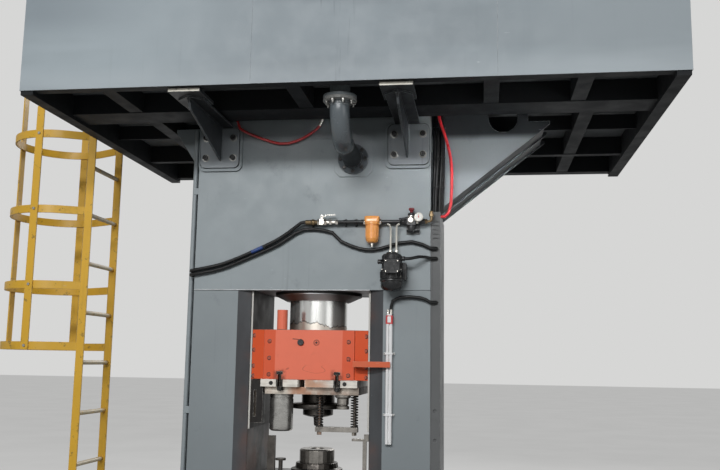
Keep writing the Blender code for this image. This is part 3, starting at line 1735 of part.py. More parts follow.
def build_cords():
    near = FRONT - 0.018
    clamp_z = CABLE_BLOCK_Z
    duct_x = HALF_W + 0.034
    underside = DECK_Z - CLEAR
    bundle_x = HALF_W + 0.0385
    bundle_y = FRONT + 0.044
    air_start = from_side_block(clamp_z + 0.012, 0.010, 0.020)
    cable_start = from_side_block(clamp_z - 0.012, 0.010, 0.020)
    routes = (
        (
            "air_hose",
            0.010,
            [
                *air_start,
                (-0.527, near, 2.150),
                (-0.351, near, 2.220),
                (-0.193, near - 0.004, 2.294),
                (-0.093, near - 0.010, 2.362),
                (-0.056, AIR_Y, 2.388),
                (-0.040, AIR_Y, AIR_Z),
                (-0.026 - CLEAR, AIR_Y, AIR_Z),
            ],
            RUBBER,
        ),
        (
            "long_cable",
            0.010,
            [
                *cable_start,
                (-0.527, near, 2.124),
                (-0.351, near, 2.194),
                (-0.193, near, 2.264),
                (-0.093, near, 2.330),
                (-0.040, near, 2.352),
                (0.020, near, 2.355),
                (0.129, near, 2.334),
                (0.181, near, 2.282),
                (0.287, near, 2.240),
                (0.370, near, 2.231),
                (0.451, near, 2.250),
                (0.524, near, 2.271),
                (0.595, near, 2.278),
                (0.655, near, 2.262),
                *into_duct(duct_x, 2.240, 0.010),
            ],
            RUBBER,
        ),
        (
            "pump_cable",
            0.009,
            [
                (PUMP_X + 0.076 + CLEAR, FRONT - PUMP_OUT, 2.170),
                (PUMP_X + 0.100, FRONT - PUMP_OUT, 2.170),
                (0.640, FRONT - 0.075, 2.184),
                (0.670, FRONT - 0.040, 2.187),
                *into_duct(duct_x, 2.183, 0.009),
            ],
            RUBBER,
        ),
        (
            "sensor_cable",
            0.009,
            [
                (0.4775, FRONT - 0.0112, 1.889 + CLEAR),
                (0.4775, FRONT - 0.0112, 1.908),
                (0.487, near, 1.938),
                (0.528, near, 1.958),
                (0.585, near, 1.962),
                (0.642, near, 1.957),
                (0.672, near, 1.948),
                *into_duct(duct_x, 1.932, 0.009),
            ],
            RUBBER,
        ),
        (
            "right_cable_bundle",
            0.036,
            [
                (bundle_x, bundle_y, DUCT_TOP_Z + CLEAR),
                (bundle_x, bundle_y, 2.56),
                (bundle_x + 0.006, bundle_y - 0.002, 2.70),
                (bundle_x + 0.008, bundle_y - 0.002, 2.86),
                (bundle_x + 0.004, bundle_y, 3.00),
                (bundle_x + 0.004, bundle_y, underside),
            ],
            RUBBER,
        ),
        (
            "red_cable",
            0.009,
            [
                (HALF_W + DUCT_W + 2 * CLEAR, bundle_y - 0.005, 2.432),
                (HALF_W + 0.078, bundle_y - 0.005, 2.432),
                (HALF_W + 0.102, bundle_y - 0.005, 2.456),
                (HALF_W + 0.114, bundle_y - 0.006, 2.503),
                (HALF_W + 0.120, bundle_y - 0.010, 2.650),
                (HALF_W + 0.114, bundle_y - 0.020, 2.771),
                (HALF_W + 0.086, bundle_y - 0.040, 2.892),
                (HALF_W + 0.050, bundle_y - 0.062, 3.000),
                (HALF_W + 0.044, bundle_y - 0.066, 3.060),
                (HALF_W + 0.044, bundle_y - 0.066, underside),
            ],
            RED,
        ),
        (
            "red_air_hose",
            0.008,
            [
                (-0.455, FRONT - 0.036, underside),
                (-0.455, FRONT - 0.036, 3.080),
                (-0.464, FRONT - 0.035, 3.020),
                (-0.445, FRONT - 0.033, 2.968),
                (-0.343, FRONT - 0.024, 2.918),
                (-0.199, FRONT - 0.020, 2.873),
                (-0.100, FRONT - 0.020, 2.886),
                (-0.006, FRONT - 0.022, 2.934),
                (0.040, FRONT - 0.028, 2.975),
                (0.062, FRONT - 0.034, 3.030),
                (0.066, FRONT - 0.034, 3.085),
                (0.066, FRONT - 0.034, underside),
            ],
            RED,
        ),
    )
    for name, radius, route, look in routes:
        finish(cord(name, route, radius), look)


def build_power_unit():
    deck = DECK_TOP + CLEAR
    axis_z = deck + 0.26
    axis = (MOTOR_X, MOTOR_Y, axis_z)
    bore = SHAFT_R + CLEAR
    motor_profile = (
        (0, 0.66),
        (0.17, 0.66),
        (0.19, 0.64),
        (0.19, 0.53),
        (0.205, 0.50),
        (0.205, 0.05),
        (0.19, 0.03),
        (0.19, 0.0),
        (bore, 0.0),
        (bore, 0.10),
        (0, 0.10),
    )
    motor = turned("main_motor", motor_profile, axis, "X", steps=24)
    feet = block(
        "motor_feet",
        (MOTOR_X + 0.08, MOTOR_Y - 0.17, deck),
        (MOTOR_X + 0.48, MOTOR_Y + 0.17, axis_z - 0.16),
        CUTTERS,
    )
    box = block(
        "motor_box",
        (MOTOR_X + 0.16, MOTOR_Y - 0.10, axis_z + 0.18),
        (MOTOR_X + 0.40, MOTOR_Y + 0.10, axis_z + 0.30),
        CUTTERS,
    )
    finish(fuse(motor, feet, box), MOTOR_BLUE)

    shaft_profile = (
        (0, 0.095),
        (SHAFT_R, 0.095),
        (SHAFT_R, -0.020),
        (0.070, -0.020),
        (0.070, -0.072),
        (0.060, -0.076),
        (0.060, -0.084),
        (0.070, -0.088),
        (0.070, -0.140),
        (SHAFT_R, -0.140),
        (SHAFT_R, -0.200),
        (0, -0.200),
    )
    shaft = turned("motor_shaft", shaft_profile, axis, "X", steps=24)
    key = block(
        "coupling_pin",
        (MOTOR_X - 0.115, MOTOR_Y - 0.008, axis_z + 0.060),
        (MOTOR_X - 0.045, MOTOR_Y + 0.008, axis_z + 0.078),
        CUTTERS,
    )
    finish(fuse(shaft, key), STEEL)
    pivot("motor_shaft_turn", axis, shaft)

    pump_profile = (
        (0, -0.206),
        (bore, -0.206),
        (bore, -0.160),
        (0.085, -0.160),
        (0.085, -0.190),
        (0.110, -0.195),
        (0.110, -0.400),
        (0.080, -0.440),
        (0, -0.440),
    )
    pump = turned("hydraulic_pump", pump_profile, axis, "X", steps=24)
    port_x = MOTOR_X - 0.300
    pedestal = block(
        "pump_pedestal",
        (port_x - 0.09, MOTOR_Y - 0.11, deck),
        (port_x + 0.10, MOTOR_Y + 0.11, axis_z - 0.05),
        CUTTERS,
    )
    port = rod(
        "pump_port",
        0.036,
        (port_x, MOTOR_Y, axis_z + 0.05),
        (port_x, MOTOR_Y, axis_z + 0.150),
        CUTTERS,
        12,
    )
    suction = rod(
        "pump_suction",
        0.030,
        (port_x, TANK_HIGH[1] + CLEAR, axis_z),
        (port_x, MOTOR_Y - 0.05, axis_z),
        CUTTERS,
        12,
    )
    collar = rod(
        "pump_suction_collar",
        0.048,
        (port_x, TANK_HIGH[1] + CLEAR, axis_z),
        (port_x, TANK_HIGH[1] + 0.020, axis_z),
        CUTTERS,
        16,
    )
    finish(fuse(pump, pedestal, port, suction, collar), SLATE_DARK)

    low = CYLINDER_TOP_Z + CLEAR
    manifold = block("valve_manifold", (-0.140, -0.100, low), (0.140, 0.100, low + 0.160))
    valves = [
        block(
            "manifold_valve_top",
            (-0.100, -0.045, low + 0.155),
            (0.060, 0.045, low + 0.235),
            CUTTERS,
        ),
        rod("manifold_solenoid", 0.030, (-0.19, 0, low + 0.195), (-0.095, 0, low + 0.195), CUTTERS, 12),
        rod("manifold_relief", 0.028, (0, -0.175, low + 0.08), (0, -0.095, low + 0.08), CUTTERS, 12),
    ]
    pipe_z = low + 0.080
    port_top = axis_z + 0.150 + CLEAR
    high = port_top + 0.160
    route = [
        (0.130, 0, pipe_z),
        (0.300, 0, pipe_z),
        (0.380, 0.010, pipe_z + 0.010),
        (0.440, 0.060, pipe_z + 0.070),
        (0.500, 0.140, high - 0.060),
        (0.570, 0.240, high),
        (0.640, 0.380, high),
        (0.700, 0.520, high - 0.010),
        (0.735, 0.595, high - 0.040),
        (port_x, MOTOR_Y, port_top + 0.060),
        (port_x, MOTOR_Y, port_top),
    ]
    pressure = pipe("manifold_pipe", smooth_route(route, 0.04), 0.019, CUTTERS, 2)
    nut = rod(
        "manifold_pipe_nut",
        0.030,
        (port_x, MOTOR_Y, port_top),
        (port_x, MOTOR_Y, port_top + 0.035),
        CUTTERS,
        6,
    )
    finish(fuse(manifold, *valves, pressure, nut), SLATE_DARK)


def build_ladder():
    half_t = BAR_T / 2
    ladder = block(
        "ladder",
        (LADDER_X - BAR_W / 2, LADDER_Y[0] - half_t, 0.0),
        (LADDER_X + BAR_W / 2, LADDER_Y[0] + half_t, LADDER_TOP_Z),
    )
    far = block(
        "ladder_far_stile",
        (LADDER_X - BAR_W / 2, LADDER_Y[1] - half_t, 0.0),
        (LADDER_X + BAR_W / 2, LADDER_Y[1] + half_t, LADDER_TOP_Z),
        CUTTERS,
    )
    rungs = []
    count = int((DECK_TOP + 0.05) / RUNG_STEP)
    for number in range(1, count + 1):
        z = number * RUNG_STEP
        rungs.append(
            rod(
                f"ladder_rung_{number}",
                0.014,
                (LADDER_X, LADDER_Y[0] - 0.002, z),
                (LADDER_X, LADDER_Y[1] + 0.002, z),
                CUTTERS,
                10,
            )
        )
    ties = []
    for number, y in enumerate(LADDER_Y):
        inner = (
            y + half_t - 0.001,
            y + half_t + 0.040,
        ) if number == 0 else (y - half_t - 0.040, y - half_t + 0.001)
        tie_high = DECK_X[0] + FASCIA_T
        ties.append(
            block(
                f"ladder_tie_{number}",
                (LADDER_X + BAR_W / 2 - 0.008, inner[0], 3.03),
                (tie_high, inner[1], 3.11),
                CUTTERS,
            )
        )
    fuse(ladder, far, *rungs, *ties)
    finish(ladder, YELLOW)

    hoops = []
    outer = HOOP_R
    inner_r = HOOP_R - BAR_T
    end_x = LADDER_X - BAR_W / 2 - CLEAR
    for number, z in enumerate(HOOP_Z):
        rim = arc((HOOP_X, LADDER_MID_Y), outer, 62, 298, 14)
        lining = arc((HOOP_X, LADDER_MID_Y), inner_r, 298, 62, 14)
        half_gap = (LADDER_Y[1] - LADDER_Y[0]) / 2
        outline = (
            [(end_x, LADDER_MID_Y + half_gap + BAR_T / 2)]
            + rim
            + [
                (end_x, LADDER_MID_Y - half_gap - BAR_T / 2),
                (end_x, LADDER_MID_Y - half_gap + BAR_T / 2),
            ]
            + lining
            + [(end_x, LADDER_MID_Y + half_gap - BAR_T / 2)]
        )
        holder = PARTS if number == 0 else CUTTERS
        name = "safety_cage" if number == 0 else f"cage_hoop_{number}"
        hoops.append(plate(name, outline, z - BAR_W / 2, z + BAR_W / 2, "XY", holder))
    straps = []
    for number, (angle, top) in enumerate(((92, 3.20), (176, 3.46), (268, 3.19))):
        turn = math.radians(angle)
        reach = HOOP_R + BAR_T / 2 - 0.001
        strap = block(
            f"cage_strap_{number}",
            (-BAR_T / 2, -BAR_W / 2, HOOP_Z[0] - BAR_W / 2),
            (BAR_T / 2, BAR_W / 2, top),
            CUTTERS,
        )
        height = strap.location.z
        place = Matrix.Translation((HOOP_X, LADDER_MID_Y, height))
        strap.matrix_world = place @ Matrix.Rotation(turn, 4, "Z") @ Matrix.Translation((reach, 0, 0))
        straps.append(strap)
    finish(fuse(hoops[0], *straps, *hoops[1:]), YELLOW)


def build():
    build_frame()
    moving = build_cylinder() + build_slide() + build_upper_tools()
    pivot("slide_travel", (0, 0, SLIDE_TOP_Z), *moving)
    build_lower_tools()
    build_struts()
    build_oil_pipe()
    build_brackets()
    build_platform()
    build_air_line()
    build_lube_pump()
    build_transducer()
    build_ducts()
    build_cords()
    build_power_unit()
    build_ladder()


build()
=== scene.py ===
"""Looks of the hydraulic press: materials, fine detail, light and camera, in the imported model's frame."""

import math
import random

import bmesh
import bpy
from mathutils import Matrix, Vector


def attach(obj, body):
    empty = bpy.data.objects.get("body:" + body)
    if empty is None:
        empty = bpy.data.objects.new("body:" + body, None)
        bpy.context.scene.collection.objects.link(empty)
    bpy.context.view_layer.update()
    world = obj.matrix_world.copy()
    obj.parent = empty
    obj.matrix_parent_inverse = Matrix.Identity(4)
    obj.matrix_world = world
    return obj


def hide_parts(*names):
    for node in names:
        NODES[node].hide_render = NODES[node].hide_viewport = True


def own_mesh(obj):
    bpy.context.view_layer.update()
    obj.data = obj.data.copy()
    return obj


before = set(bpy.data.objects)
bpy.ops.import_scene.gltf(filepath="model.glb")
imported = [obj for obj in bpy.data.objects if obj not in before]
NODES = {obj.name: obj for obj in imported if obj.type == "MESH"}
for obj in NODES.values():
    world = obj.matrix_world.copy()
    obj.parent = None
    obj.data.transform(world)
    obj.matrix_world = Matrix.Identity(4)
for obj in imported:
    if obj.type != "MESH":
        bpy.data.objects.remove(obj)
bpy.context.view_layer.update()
SCENE = bpy.context.scene

# Places that the CAD model fixes, in metres
CLEAR = 0.0003
FRONT = -0.29
WALL = FRONT - CLEAR
HALF_W = 0.70
WINDOW_TOP = 2.0
AIR_Y = -0.326
AIR_Z = 2.392
PIPE_X = 0.244
DECK_TOP = 3.1343
SEAT_Y = -0.985
CAGE_X = -1.80
CAGE_Y = 0.1325
SLOT_X = 0.168
TOOL_TOP = 1.4001

OUT = (0, -1, 0)
RIGHT = (1, 0, 0)
DOWN = (0, 0, -1)

CAMERA_AT = (0.984, -5.112, 1.5985)
CAMERA_TURNS = (("Z", 8.194), ("X", 8.441), ("Y", -0.9))
CAMERA_LENS = 42.32


def build_camera():
    """The photograph's view, fitted to the frame's edges and the platform's outline."""
    turn = Matrix.Identity(3)
    for axis, degrees in CAMERA_TURNS:
        turn = turn @ Matrix.Rotation(math.radians(degrees), 3, axis)
    place = Matrix((turn.col[0], turn.col[2], -turn.col[1])).transposed().to_4x4()
    place.translation = CAMERA_AT
    data = bpy.data.cameras.new("camera")
    data.lens = CAMERA_LENS
    data.sensor_width = 36.0
    data.clip_end = 200.0
    camera = bpy.data.objects.new("camera", data)
    camera.matrix_world = place
    SCENE.collection.objects.link(camera)
    SCENE.camera = camera


# Materials
def srgb(*levels):
    """A colour written from 0 to 255, as a shader takes it."""
    return tuple(v / 3294.6 if v <= 10 else ((v / 255 + 0.055) / 1.055) ** 2.4 for v in levels) + (1.0,)


def scaled(colour, factor, plus=0.0):
    """A shader's colour made lighter or darker."""
    return tuple(min(1.0, v * factor + plus) for v in colour[:3]) + (1.0,)


class Value:
    """A number that the nodes work out."""

    def __init__(self, net, socket):
        self.net = net
        self.socket = socket

    def __abs__(self):
        return self.net.math("ABSOLUTE", self)

    def __add__(self, other):
        return self.net.math("ADD", self, other)

    def __sub__(self, other):
        return self.net.math("SUBTRACT", self, other)

    def __rsub__(self, other):
        return self.net.math("SUBTRACT", other, self)

    def __mul__(self, other):
        return self.net.math("MULTIPLY", self, other)

    def most(self, other):
        return self.net.math("MAXIMUM", self, other)

    def band(self, low, high, out_low=0.0, out_high=1.0):
        """Goes smoothly from one level to the other between the two ends, which may fall as well as rise."""
        made = self.net.node("MapRange", Value=self)
        made.interpolation_type = "SMOOTHSTEP"
        for key, given in (("From Min", low), ("From Max", high), ("To Min", out_low), ("To Max", out_high)):
            made.inputs[key].default_value = given
        return Value(self.net, made.outputs[0])


class Net:
    """A material's nodes, in the coordinates of the piece's own mesh, and the colour laid so far."""

    def __init__(self, name, seed=0.0):
        self.material = bpy.data.materials.new(name)
        self.material.use_nodes = True
        self.tree = self.material.node_tree
        self.tree.nodes.clear()
        self.shift = (seed, seed * 0.7, seed * 1.3)
        self.base = None
        self.place = self.node("TexCoord").outputs["Object"]
        self.normal = self.node("NewGeometry").outputs["Normal"]
        parts = self.node("SeparateXYZ", Vector=self.place).outputs
        self.x, self.y, self.z = (Value(self, part) for part in parts)
        self.rise = Value(self, self.node("SeparateXYZ", Vector=self.normal).outputs["Z"])

    def node(self, kind, **inputs):
        made = self.tree.nodes.new(f"ShaderNode{kind}")
        for key, value in inputs.items():
            self.put(made.inputs[key], value)
        return made

    def put(self, socket, value):
        if isinstance(value, Value):
            value = value.socket
        if isinstance(value, bpy.types.NodeSocket):
            self.tree.links.new(value, socket)
        else:
            socket.default_value = value

    def math(self, operation, first, second=0.0):
        made = self.node("Math")
        made.operation = operation
        self.put(made.inputs[0], first)
        self.put(made.inputs[1], second)
        return Value(self, made.outputs[0])

    def noise(self, scale, detail=4.0, rough=0.55, stretch=(1, 1, 1), shift=(0, 0, 0)):
        at = self.node("Mapping", Vector=self.place, Scale=stretch, Location=shift)
        made = self.node("TexNoise", Vector=at.outputs[0], Scale=scale, Detail=detail, Roughness=rough)
        return Value(self, made.outputs[0])

    def moved(self, scale, detail=4.0, rough=0.55, stretch=(1, 1, 1)):
        """Noise that differs from one material to the next."""
        return self.noise(scale, detail, rough, stretch, self.shift)

    def mix(self, amount, first, second):
        made = self.node("Mix")
        made.data_type = "RGBA"
        for slot, value in ((0, amount), (6, first), (7, second)):
            plain = isinstance(value, tuple) and len(value) == 3
            self.put(made.inputs[slot], srgb(*value) if plain else value)
        return made.outputs[2]

    def lay(self, amount, colour):
        """Lays a colour over what is there."""
        self.base = self.mix(amount, self.base, colour)

    def edge(self, radius):
        """1 along sharp edges, 0 on flat faces."""
        soft = self.node("Bevel", Radius=radius)
        soft.samples = 4
        near = self.node("VectorMath")
        near.operation = "DOT_PRODUCT"
        self.put(near.inputs[0], soft.outputs[0])
        self.put(near.inputs[1], self.normal)
        return (1.0 - Value(self, near.outputs["Value"])).band(0.004, 0.12)

    def corner(self, reach):
        """1 deep in corners, where shade falls, 0 in the open: the mask for painted corner shade."""
        shade = self.node("AmbientOcclusion", Distance=reach)
        shade.samples = 4
        return (1.0 - Value(self, shade.outputs["AO"])).band(0.30, 0.85)

    def up(self):
        """1 on faces that look up."""
        return self.rise.band(0.5, 0.95)

    def down(self):
        """1 on faces that look down."""
        return self.rise.band(-0.25, -0.6)

    def close(self, rough, metallic=0.0, heights=(), soften=0.0, coat=0.0, specular=None):
        """Ends the nodes. heights are (value, strength, distance), each a bump on the one before."""
        shader = self.node("BsdfPrincipled", Roughness=rough, Metallic=metallic)
        self.put(shader.inputs["Base Color"], self.base)
        if coat:
            shader.inputs["Coat Weight"].default_value = coat
            shader.inputs["Coat Roughness"].default_value = 0.25
        if specular is not None:
            shader.inputs["Specular IOR Level"].default_value = specular
        normal = None
        if soften:
            rounded_edge = self.node("Bevel", Radius=soften)
            rounded_edge.samples = 4
            normal = rounded_edge.outputs[0]
        for value, strength, distance in heights:
            bump = self.node("Bump", Strength=strength, Distance=distance, Height=value)
            if normal is not None:
                self.put(bump.inputs["Normal"], normal)
            normal = bump.outputs[0]
        self.put(shader.inputs["Normal"], normal)
        self.node("OutputMaterial", Surface=shader.outputs[0])
        return self.material


def paint(name, colour, shade, worn, rough=0.46, streaks=0.25, smudge=0.25, wear=0.6, chips=0.0, tone=0.06,
          dirt_and_shade=0.55, seed=0.0, marks=None, specular=None, dents=0.10):
    """Brushed machine paint: uneven tone, drips, smudges, worn edges and small scuffs, with painted shade and
    dirt in the corners.
    """
    net = Net(name, seed)
    colour, shade, worn = (srgb(*levels) for levels in (colour, shade, worn))
    darker = scaled(colour, 1 - tone)
    net.base = net.mix(net.moved(0.9, 3).band(0.35, 0.65), darker, scaled(colour, 1 + tone))
    net.lay(net.moved(9.0, 6, 0.6).band(0.35, 0.7, 0.0, 0.35), darker)
    drips = net.moved(1.0, 5, 0.6, (24, 24, 0.7)).band(0.56, 0.74)
    net.lay(drips * net.moved(1.7, 2).band(0.45, 0.65) * streaks, shade)
    smudges = net.moved(5.0, 7, 0.65).band(0.58, 0.74) * smudge
    net.lay(smudges, shade)
    if marks:
        marks(net)
    # Painted shade in the corners, from ambient occlusion, broken up by noise like dirt
    net.lay(net.corner(0.05) * net.moved(14.0, 4).band(0.25, 0.6) * dirt_and_shade, shade)
    net.lay(net.up() * net.noise(11.0, 5).band(0.3, 0.7, 0.4, 1.0) * 0.15, scaled(colour, 0.6, 0.16))
    scratch = net.moved(30.0, 3, 0.7, (0.35, 1, 1.6)).band(0.70, 0.73)
    net.lay(scratch * net.moved(2.3, 2).band(0.52, 0.66) * 0.45, worn)
    border = net.edge(0.004) * net.moved(38.0, 5, 0.7).band(0.36, 0.60) * wear
    net.lay(border, worn)
    if chips:
        flakes = net.moved(22.0, 6, 0.75).band(0.60, 0.635) * chips
        net.lay(flakes, shade)
        border = border.most(flakes)
    roughness = net.moved(7.0, 5, 0.6).band(0.3, 0.7, rough - 0.08, rough + 0.10) + smudges * 0.3
    heights = ((net.moved(2.6, 2), dents, 0.02), (net.moved(120.0, 4, 0.6), 0.10, 0.002),
               (border, 0.15, -0.001))
    return net.close(roughness, 0.0, heights, 0.0025, specular=specular)


def metal(name, colour, stain, rough=0.32, stains=0.4, rust=0.0, grain=(1, 1, 1), grain_scale=60.0,
          metallic=0.9, seed=0.0, marks=None):
    """Machined steel: fine tool marks, oily stains, brighter edges, and painted shade in the corners."""
    net = Net(name, seed)
    colour, stain = srgb(*colour), srgb(*stain)
    net.base = net.mix(net.moved(grain_scale, 3, 0.6, grain).band(0.35, 0.65), scaled(colour, 0.82), colour)
    stained = net.moved(13.0, 7, 0.68).band(0.44, 0.68) * stains
    net.lay(stained, stain)
    if rust:
        reddish = net.noise(8.0, 6, 0.7, shift=(3.1, 1.7 + seed, 0.4)).band(0.50, 0.66) * rust
        net.lay(reddish, (132, 74, 48))
        stained = stained.most(reddish)
    if marks:
        marks(net)
    # Painted shade in the corners, in the stain colour
    net.lay(net.corner(0.03) * 0.7, stain)
    net.lay(net.edge(0.003) * net.noise(50.0, 4).band(0.35, 0.6) * 0.7, scaled(colour, 1.25, 0.08))
    roughness = net.moved(18.0, 5, 0.6).band(0.3, 0.7, rough - 0.08, rough + 0.10) + stained * 0.25
    heights = ((net.moved(grain_scale * 2, 2, 0.5, grain), 0.10, 0.0008),
               (net.moved(35.0, 5, 0.6), 0.12, 0.0015))
    return net.close(roughness, metallic - stained * 0.35, heights, 0.0015)


def moulded(name, colour, rough=0.45, dust=0.12, grain=260.0, tone=0.25, worn=None, coat=0.0, seed=0.0,
            specular=None):
    """Plastic and rubber: fine grain, dust on top, handled patches."""
    net = Net(name, seed)
    colour = srgb(*colour)
    pale = scaled(colour, 0.5, 0.13)
    net.base = net.mix(net.moved(16.0, 6, 0.6).band(0.35, 0.7), colour, scaled(colour, 1 + tone, 0.004))
    net.lay(net.up() * net.moved(22.0, 5).band(0.3, 0.7) * dust, pale)
    net.lay(net.edge(0.002) * net.moved(60.0, 4).band(0.40, 0.62) * 0.5, worn or pale)
    roughness = net.moved(24.0, 5, 0.6).band(0.3, 0.7, rough - 0.10, rough + 0.10)
    heights = ((net.moved(grain, 3, 0.6), 0.12, 0.0006), (net.moved(9.0, 3), 0.06, 0.003))
    return net.close(roughness, 0.0, heights, 0.001, coat, specular)


def column_marks(net):
    """Painted shade: darker than the slate paint and darker still towards the foot. The slanted inner edges
    and the window's sides are darker in patches, and a painted reflection of the orange slide lies reddish on
    the slanted edges.
    """
    across = abs(net.x)
    # Painted shade: darker towards the foot
    net.lay(net.z.band(0.6, 2.0, 0.34, 0.16), (84, 90, 94))
    # Darker in patches along the slanted inner edges, nearly black along the window's sides
    oil = net.noise(3.0, 6, 0.6, (1, 1, 0.4)).band(0.2, 0.6, 0.78, 1.0)
    net.lay(across.band(0.4315, 0.4285) * oil, (62, 63, 66))
    net.lay(across.band(0.3570, 0.3555) * net.noise(4.0, 5, 0.6).band(0.2, 0.6, 0.75, 0.95), (26, 25, 24))
    # Painted reflection of the orange slide, reddish on the slanted edges
    slide_reflection = net.noise(2.2, 4, shift=(0, 0, 0.4)).band(0.50, 0.66)
    net.lay(across.band(0.43, 0.36) * slide_reflection * 0.35, (124, 74, 50))


def slide_marks(net):
    """Fresh paint in the middle, darker paint on the side strips, grease round the slots."""
    across = abs(net.x)
    net.lay(across.band(0.195, 0.199), (232, 100, 64))
    net.lay(across.band(0.262, 0.267), (226, 90, 46))
    net.lay(net.z.band(1.7675, 1.7695) * net.z.band(1.7735, 1.7715) * 0.85, (92, 70, 60))
    slot = abs(across - SLOT_X).band(0.045, 0.022) * net.z.band(1.552, 1.525)
    net.lay(slot * net.noise(20.0, 5, 0.7).band(0.35, 0.6) * 0.75, (88, 40, 28))
    wire = abs(net.noise(3.0, 2, stretch=(1, 1, 2.2)) - 0.52).band(0.0045, 0.001)
    net.lay(wire * net.z.band(1.575, 1.55) * across.band(0.19, 0.17) * 0.4, (110, 54, 40))


def shoe_marks(net):
    """Black T-bolts and guide shoe, bare bright blocks, copper-coloured heat tint on the right block."""
    tint = net.x.band(-0.03, -0.01) * net.x.band(0.16, 0.05) * net.noise(12.0, 5, 0.6).band(0.3, 0.6)
    net.lay(tint * 0.75, (176, 120, 84))
    bolt = abs(abs(net.x) - SLOT_X).band(0.0205, 0.0195) * net.y.band(-0.234, -0.2345)
    for black in (net.z.band(1.4850, 1.4855), net.z.band(1.4422, 1.4418), net.x.band(-0.2806, -0.2812)):
        bolt = bolt.most(black)
    net.lay(bolt, (34, 32, 31))


def plate_marks(net):
    """Bright at its left end, heat-tinted in the middle, dark with oil to the right."""
    copper = net.x.band(-0.14, -0.08) * net.x.band(0.12, 0.02) * net.noise(14.0, 5, 0.6).band(0.25, 0.55)
    net.lay(copper * 0.8, (158, 104, 72))
    dark = net.x.band(0.02, 0.10) * net.noise(9.0, 5, 0.6, shift=(1.0, 0, 0)).band(0.30, 0.55)
    net.lay(dark * 0.6, (74, 62, 54))


def gland_marks(net):
    """Painted light and shade: pale in the middle, where the underside stands lit, painted shade at both
    sides and on the rim up under the seam, and a painted reddish reflection of the orange slide to its left.
    """
    net.lay(abs(net.x - 0.015).band(0.05, 0.15) * 0.92, (34, 33, 31))
    net.lay(net.x.band(0.0, -0.06) * net.x.band(-0.20, -0.14) * 0.8, (120, 74, 50))
    net.lay(net.z.band(1.9835, 1.9855) * 0.9, (30, 29, 28))


def strut_marks(net):
    """Painted shade: the web and the seat are darker than the base plate, and the undersides are black. The
    seat's front edge is bare.
    """
    net.lay(net.y.band(-0.311, -0.320) * 0.94, (58, 62, 66))
    net.lay(net.down() * net.z.band(2.95, 2.96), (24, 25, 27))
    net.lay(net.down() * net.y.band(-0.311, -0.310), (24, 25, 27))
    bare = net.z.band(2.9885, 2.9895) * net.y.band(SEAT_Y + 0.004, SEAT_Y + 0.002)
    net.lay(bare * net.noise(24.0, 3).band(0.25, 0.45), (224, 220, 206))


def pad_marks(net):
    """Painted shade: the narrow lower edge is black."""
    net.lay(net.down() * 0.96, (18, 20, 22))


def bracket_marks(net):
    """Painted shade: black undersides, and a rib that darkens where it goes up into the shade under the
    platform.
    """
    net.lay(net.down() * 0.96, (20, 22, 24))
    net.lay(net.z.band(2.895, 2.945) * 0.9, (34, 36, 39))


def elbow_marks(net):
    """The stretch that runs to the wall is black with painted shade, and the upper flange is bare steel."""
    net.lay(net.y.band(-0.74, -0.60) * net.y.band(-0.312, -0.33) * 0.94, (30, 32, 34))
    net.lay(net.z.band(2.9628, 2.9640) * net.noise(26.0, 4).band(0.30, 0.55, 0.55, 0.95), (196, 197, 194))


def fascia_marks(net):
    """Darker in the middle and at the upper left, lighter at the right end and towards the lower edge, with
    long clouds and a few runs.
    """
    net.lay(abs(net.x - 0.25).band(1.3, 0.3) * 0.42, (124, 131, 137))
    net.lay(net.x.band(0.9, 1.9) * 0.5, (178, 187, 192))
    net.lay(net.noise(1.5, 3, 0.5, (0.45, 1, 2.4)).band(0.40, 0.62) * 0.34, (120, 128, 134))
    net.lay(net.z.band(3.16, 3.04) * 0.28, (184, 192, 197))
    run = abs(net.x - 0.22).band(0.17, 0.02) * net.noise(1.0, 4, 0.6, (34, 34, 1.6)).band(0.52, 0.66)
    net.lay(run * 0.5, (84, 90, 96))
    net.lay(net.x.band(-0.5, -1.4) * net.z.band(3.22, 3.45) * 0.45, (104, 113, 122))


def deck_marks(net):
    """Trodden grey above, and lighter below than the beams are."""
    net.lay(net.up() * net.noise(3.0, 6, 0.65).band(0.30, 0.62, 0.45, 0.95), (122, 127, 130))


def rail_marks(net):
    """Only the narrow front edge of a rail is wiped bright."""
    net.lay(net.y.band(-0.2525, -0.2535) * 0.95, (214, 212, 206))


def ladder_marks(net):
    """Steps are worn nearly white in the middle."""
    step = abs(net.y - CAGE_Y).band(0.195, 0.15) * net.x.band(-1.62, -1.60) * net.x.band(-1.4, -1.46)
    net.lay(step * net.noise(18.0, 5, 0.7).band(0.30, 0.55, 0.3, 0.9), (206, 198, 176))


def chrome_ram():
    """Hard chrome with upright reflections, and a dull oily band under a ragged tide line."""
    net = Net("chrome")
    around_it = net.noise(9.0, 5, 0.65, (1, 1, 0.02))
    ragged = net.noise(14.0, 6, 0.7, (1, 1, 0.15), (0.3, 0.2, 0.0))
    line = (ragged - 0.5) * 0.11 + 1.817 - net.x.band(0.02, 0.10, 0.0, 0.014)
    above = net.z - line
    dull = 1.0 - above.band(-0.001, 0.001)
    net.base = net.mix(around_it.band(0.35, 0.65), (196, 197, 195), (238, 239, 236))
    net.lay(net.noise(16.0, 5, 0.7, (1, 1, 0.12)).band(0.58, 0.68) * 0.45, (96, 90, 84))
    net.lay(dull * 0.65, (206, 194, 178))
    net.lay(abs(above).band(0.0035, 0.0012) * 0.95, (24, 22, 20))
    rough = around_it.band(0.3, 0.7, 0.16, 0.30) + dull * 0.16
    return net.close(rough, 0.80, ((net.noise(70.0, 3, stretch=(1, 1, 0.1)), 0.05, 0.0008),))


SLATE = (152, 161, 165)
SHADE = (52, 56, 60)
GRAIN = (0.15, 1, 1)
LOOKS = {}


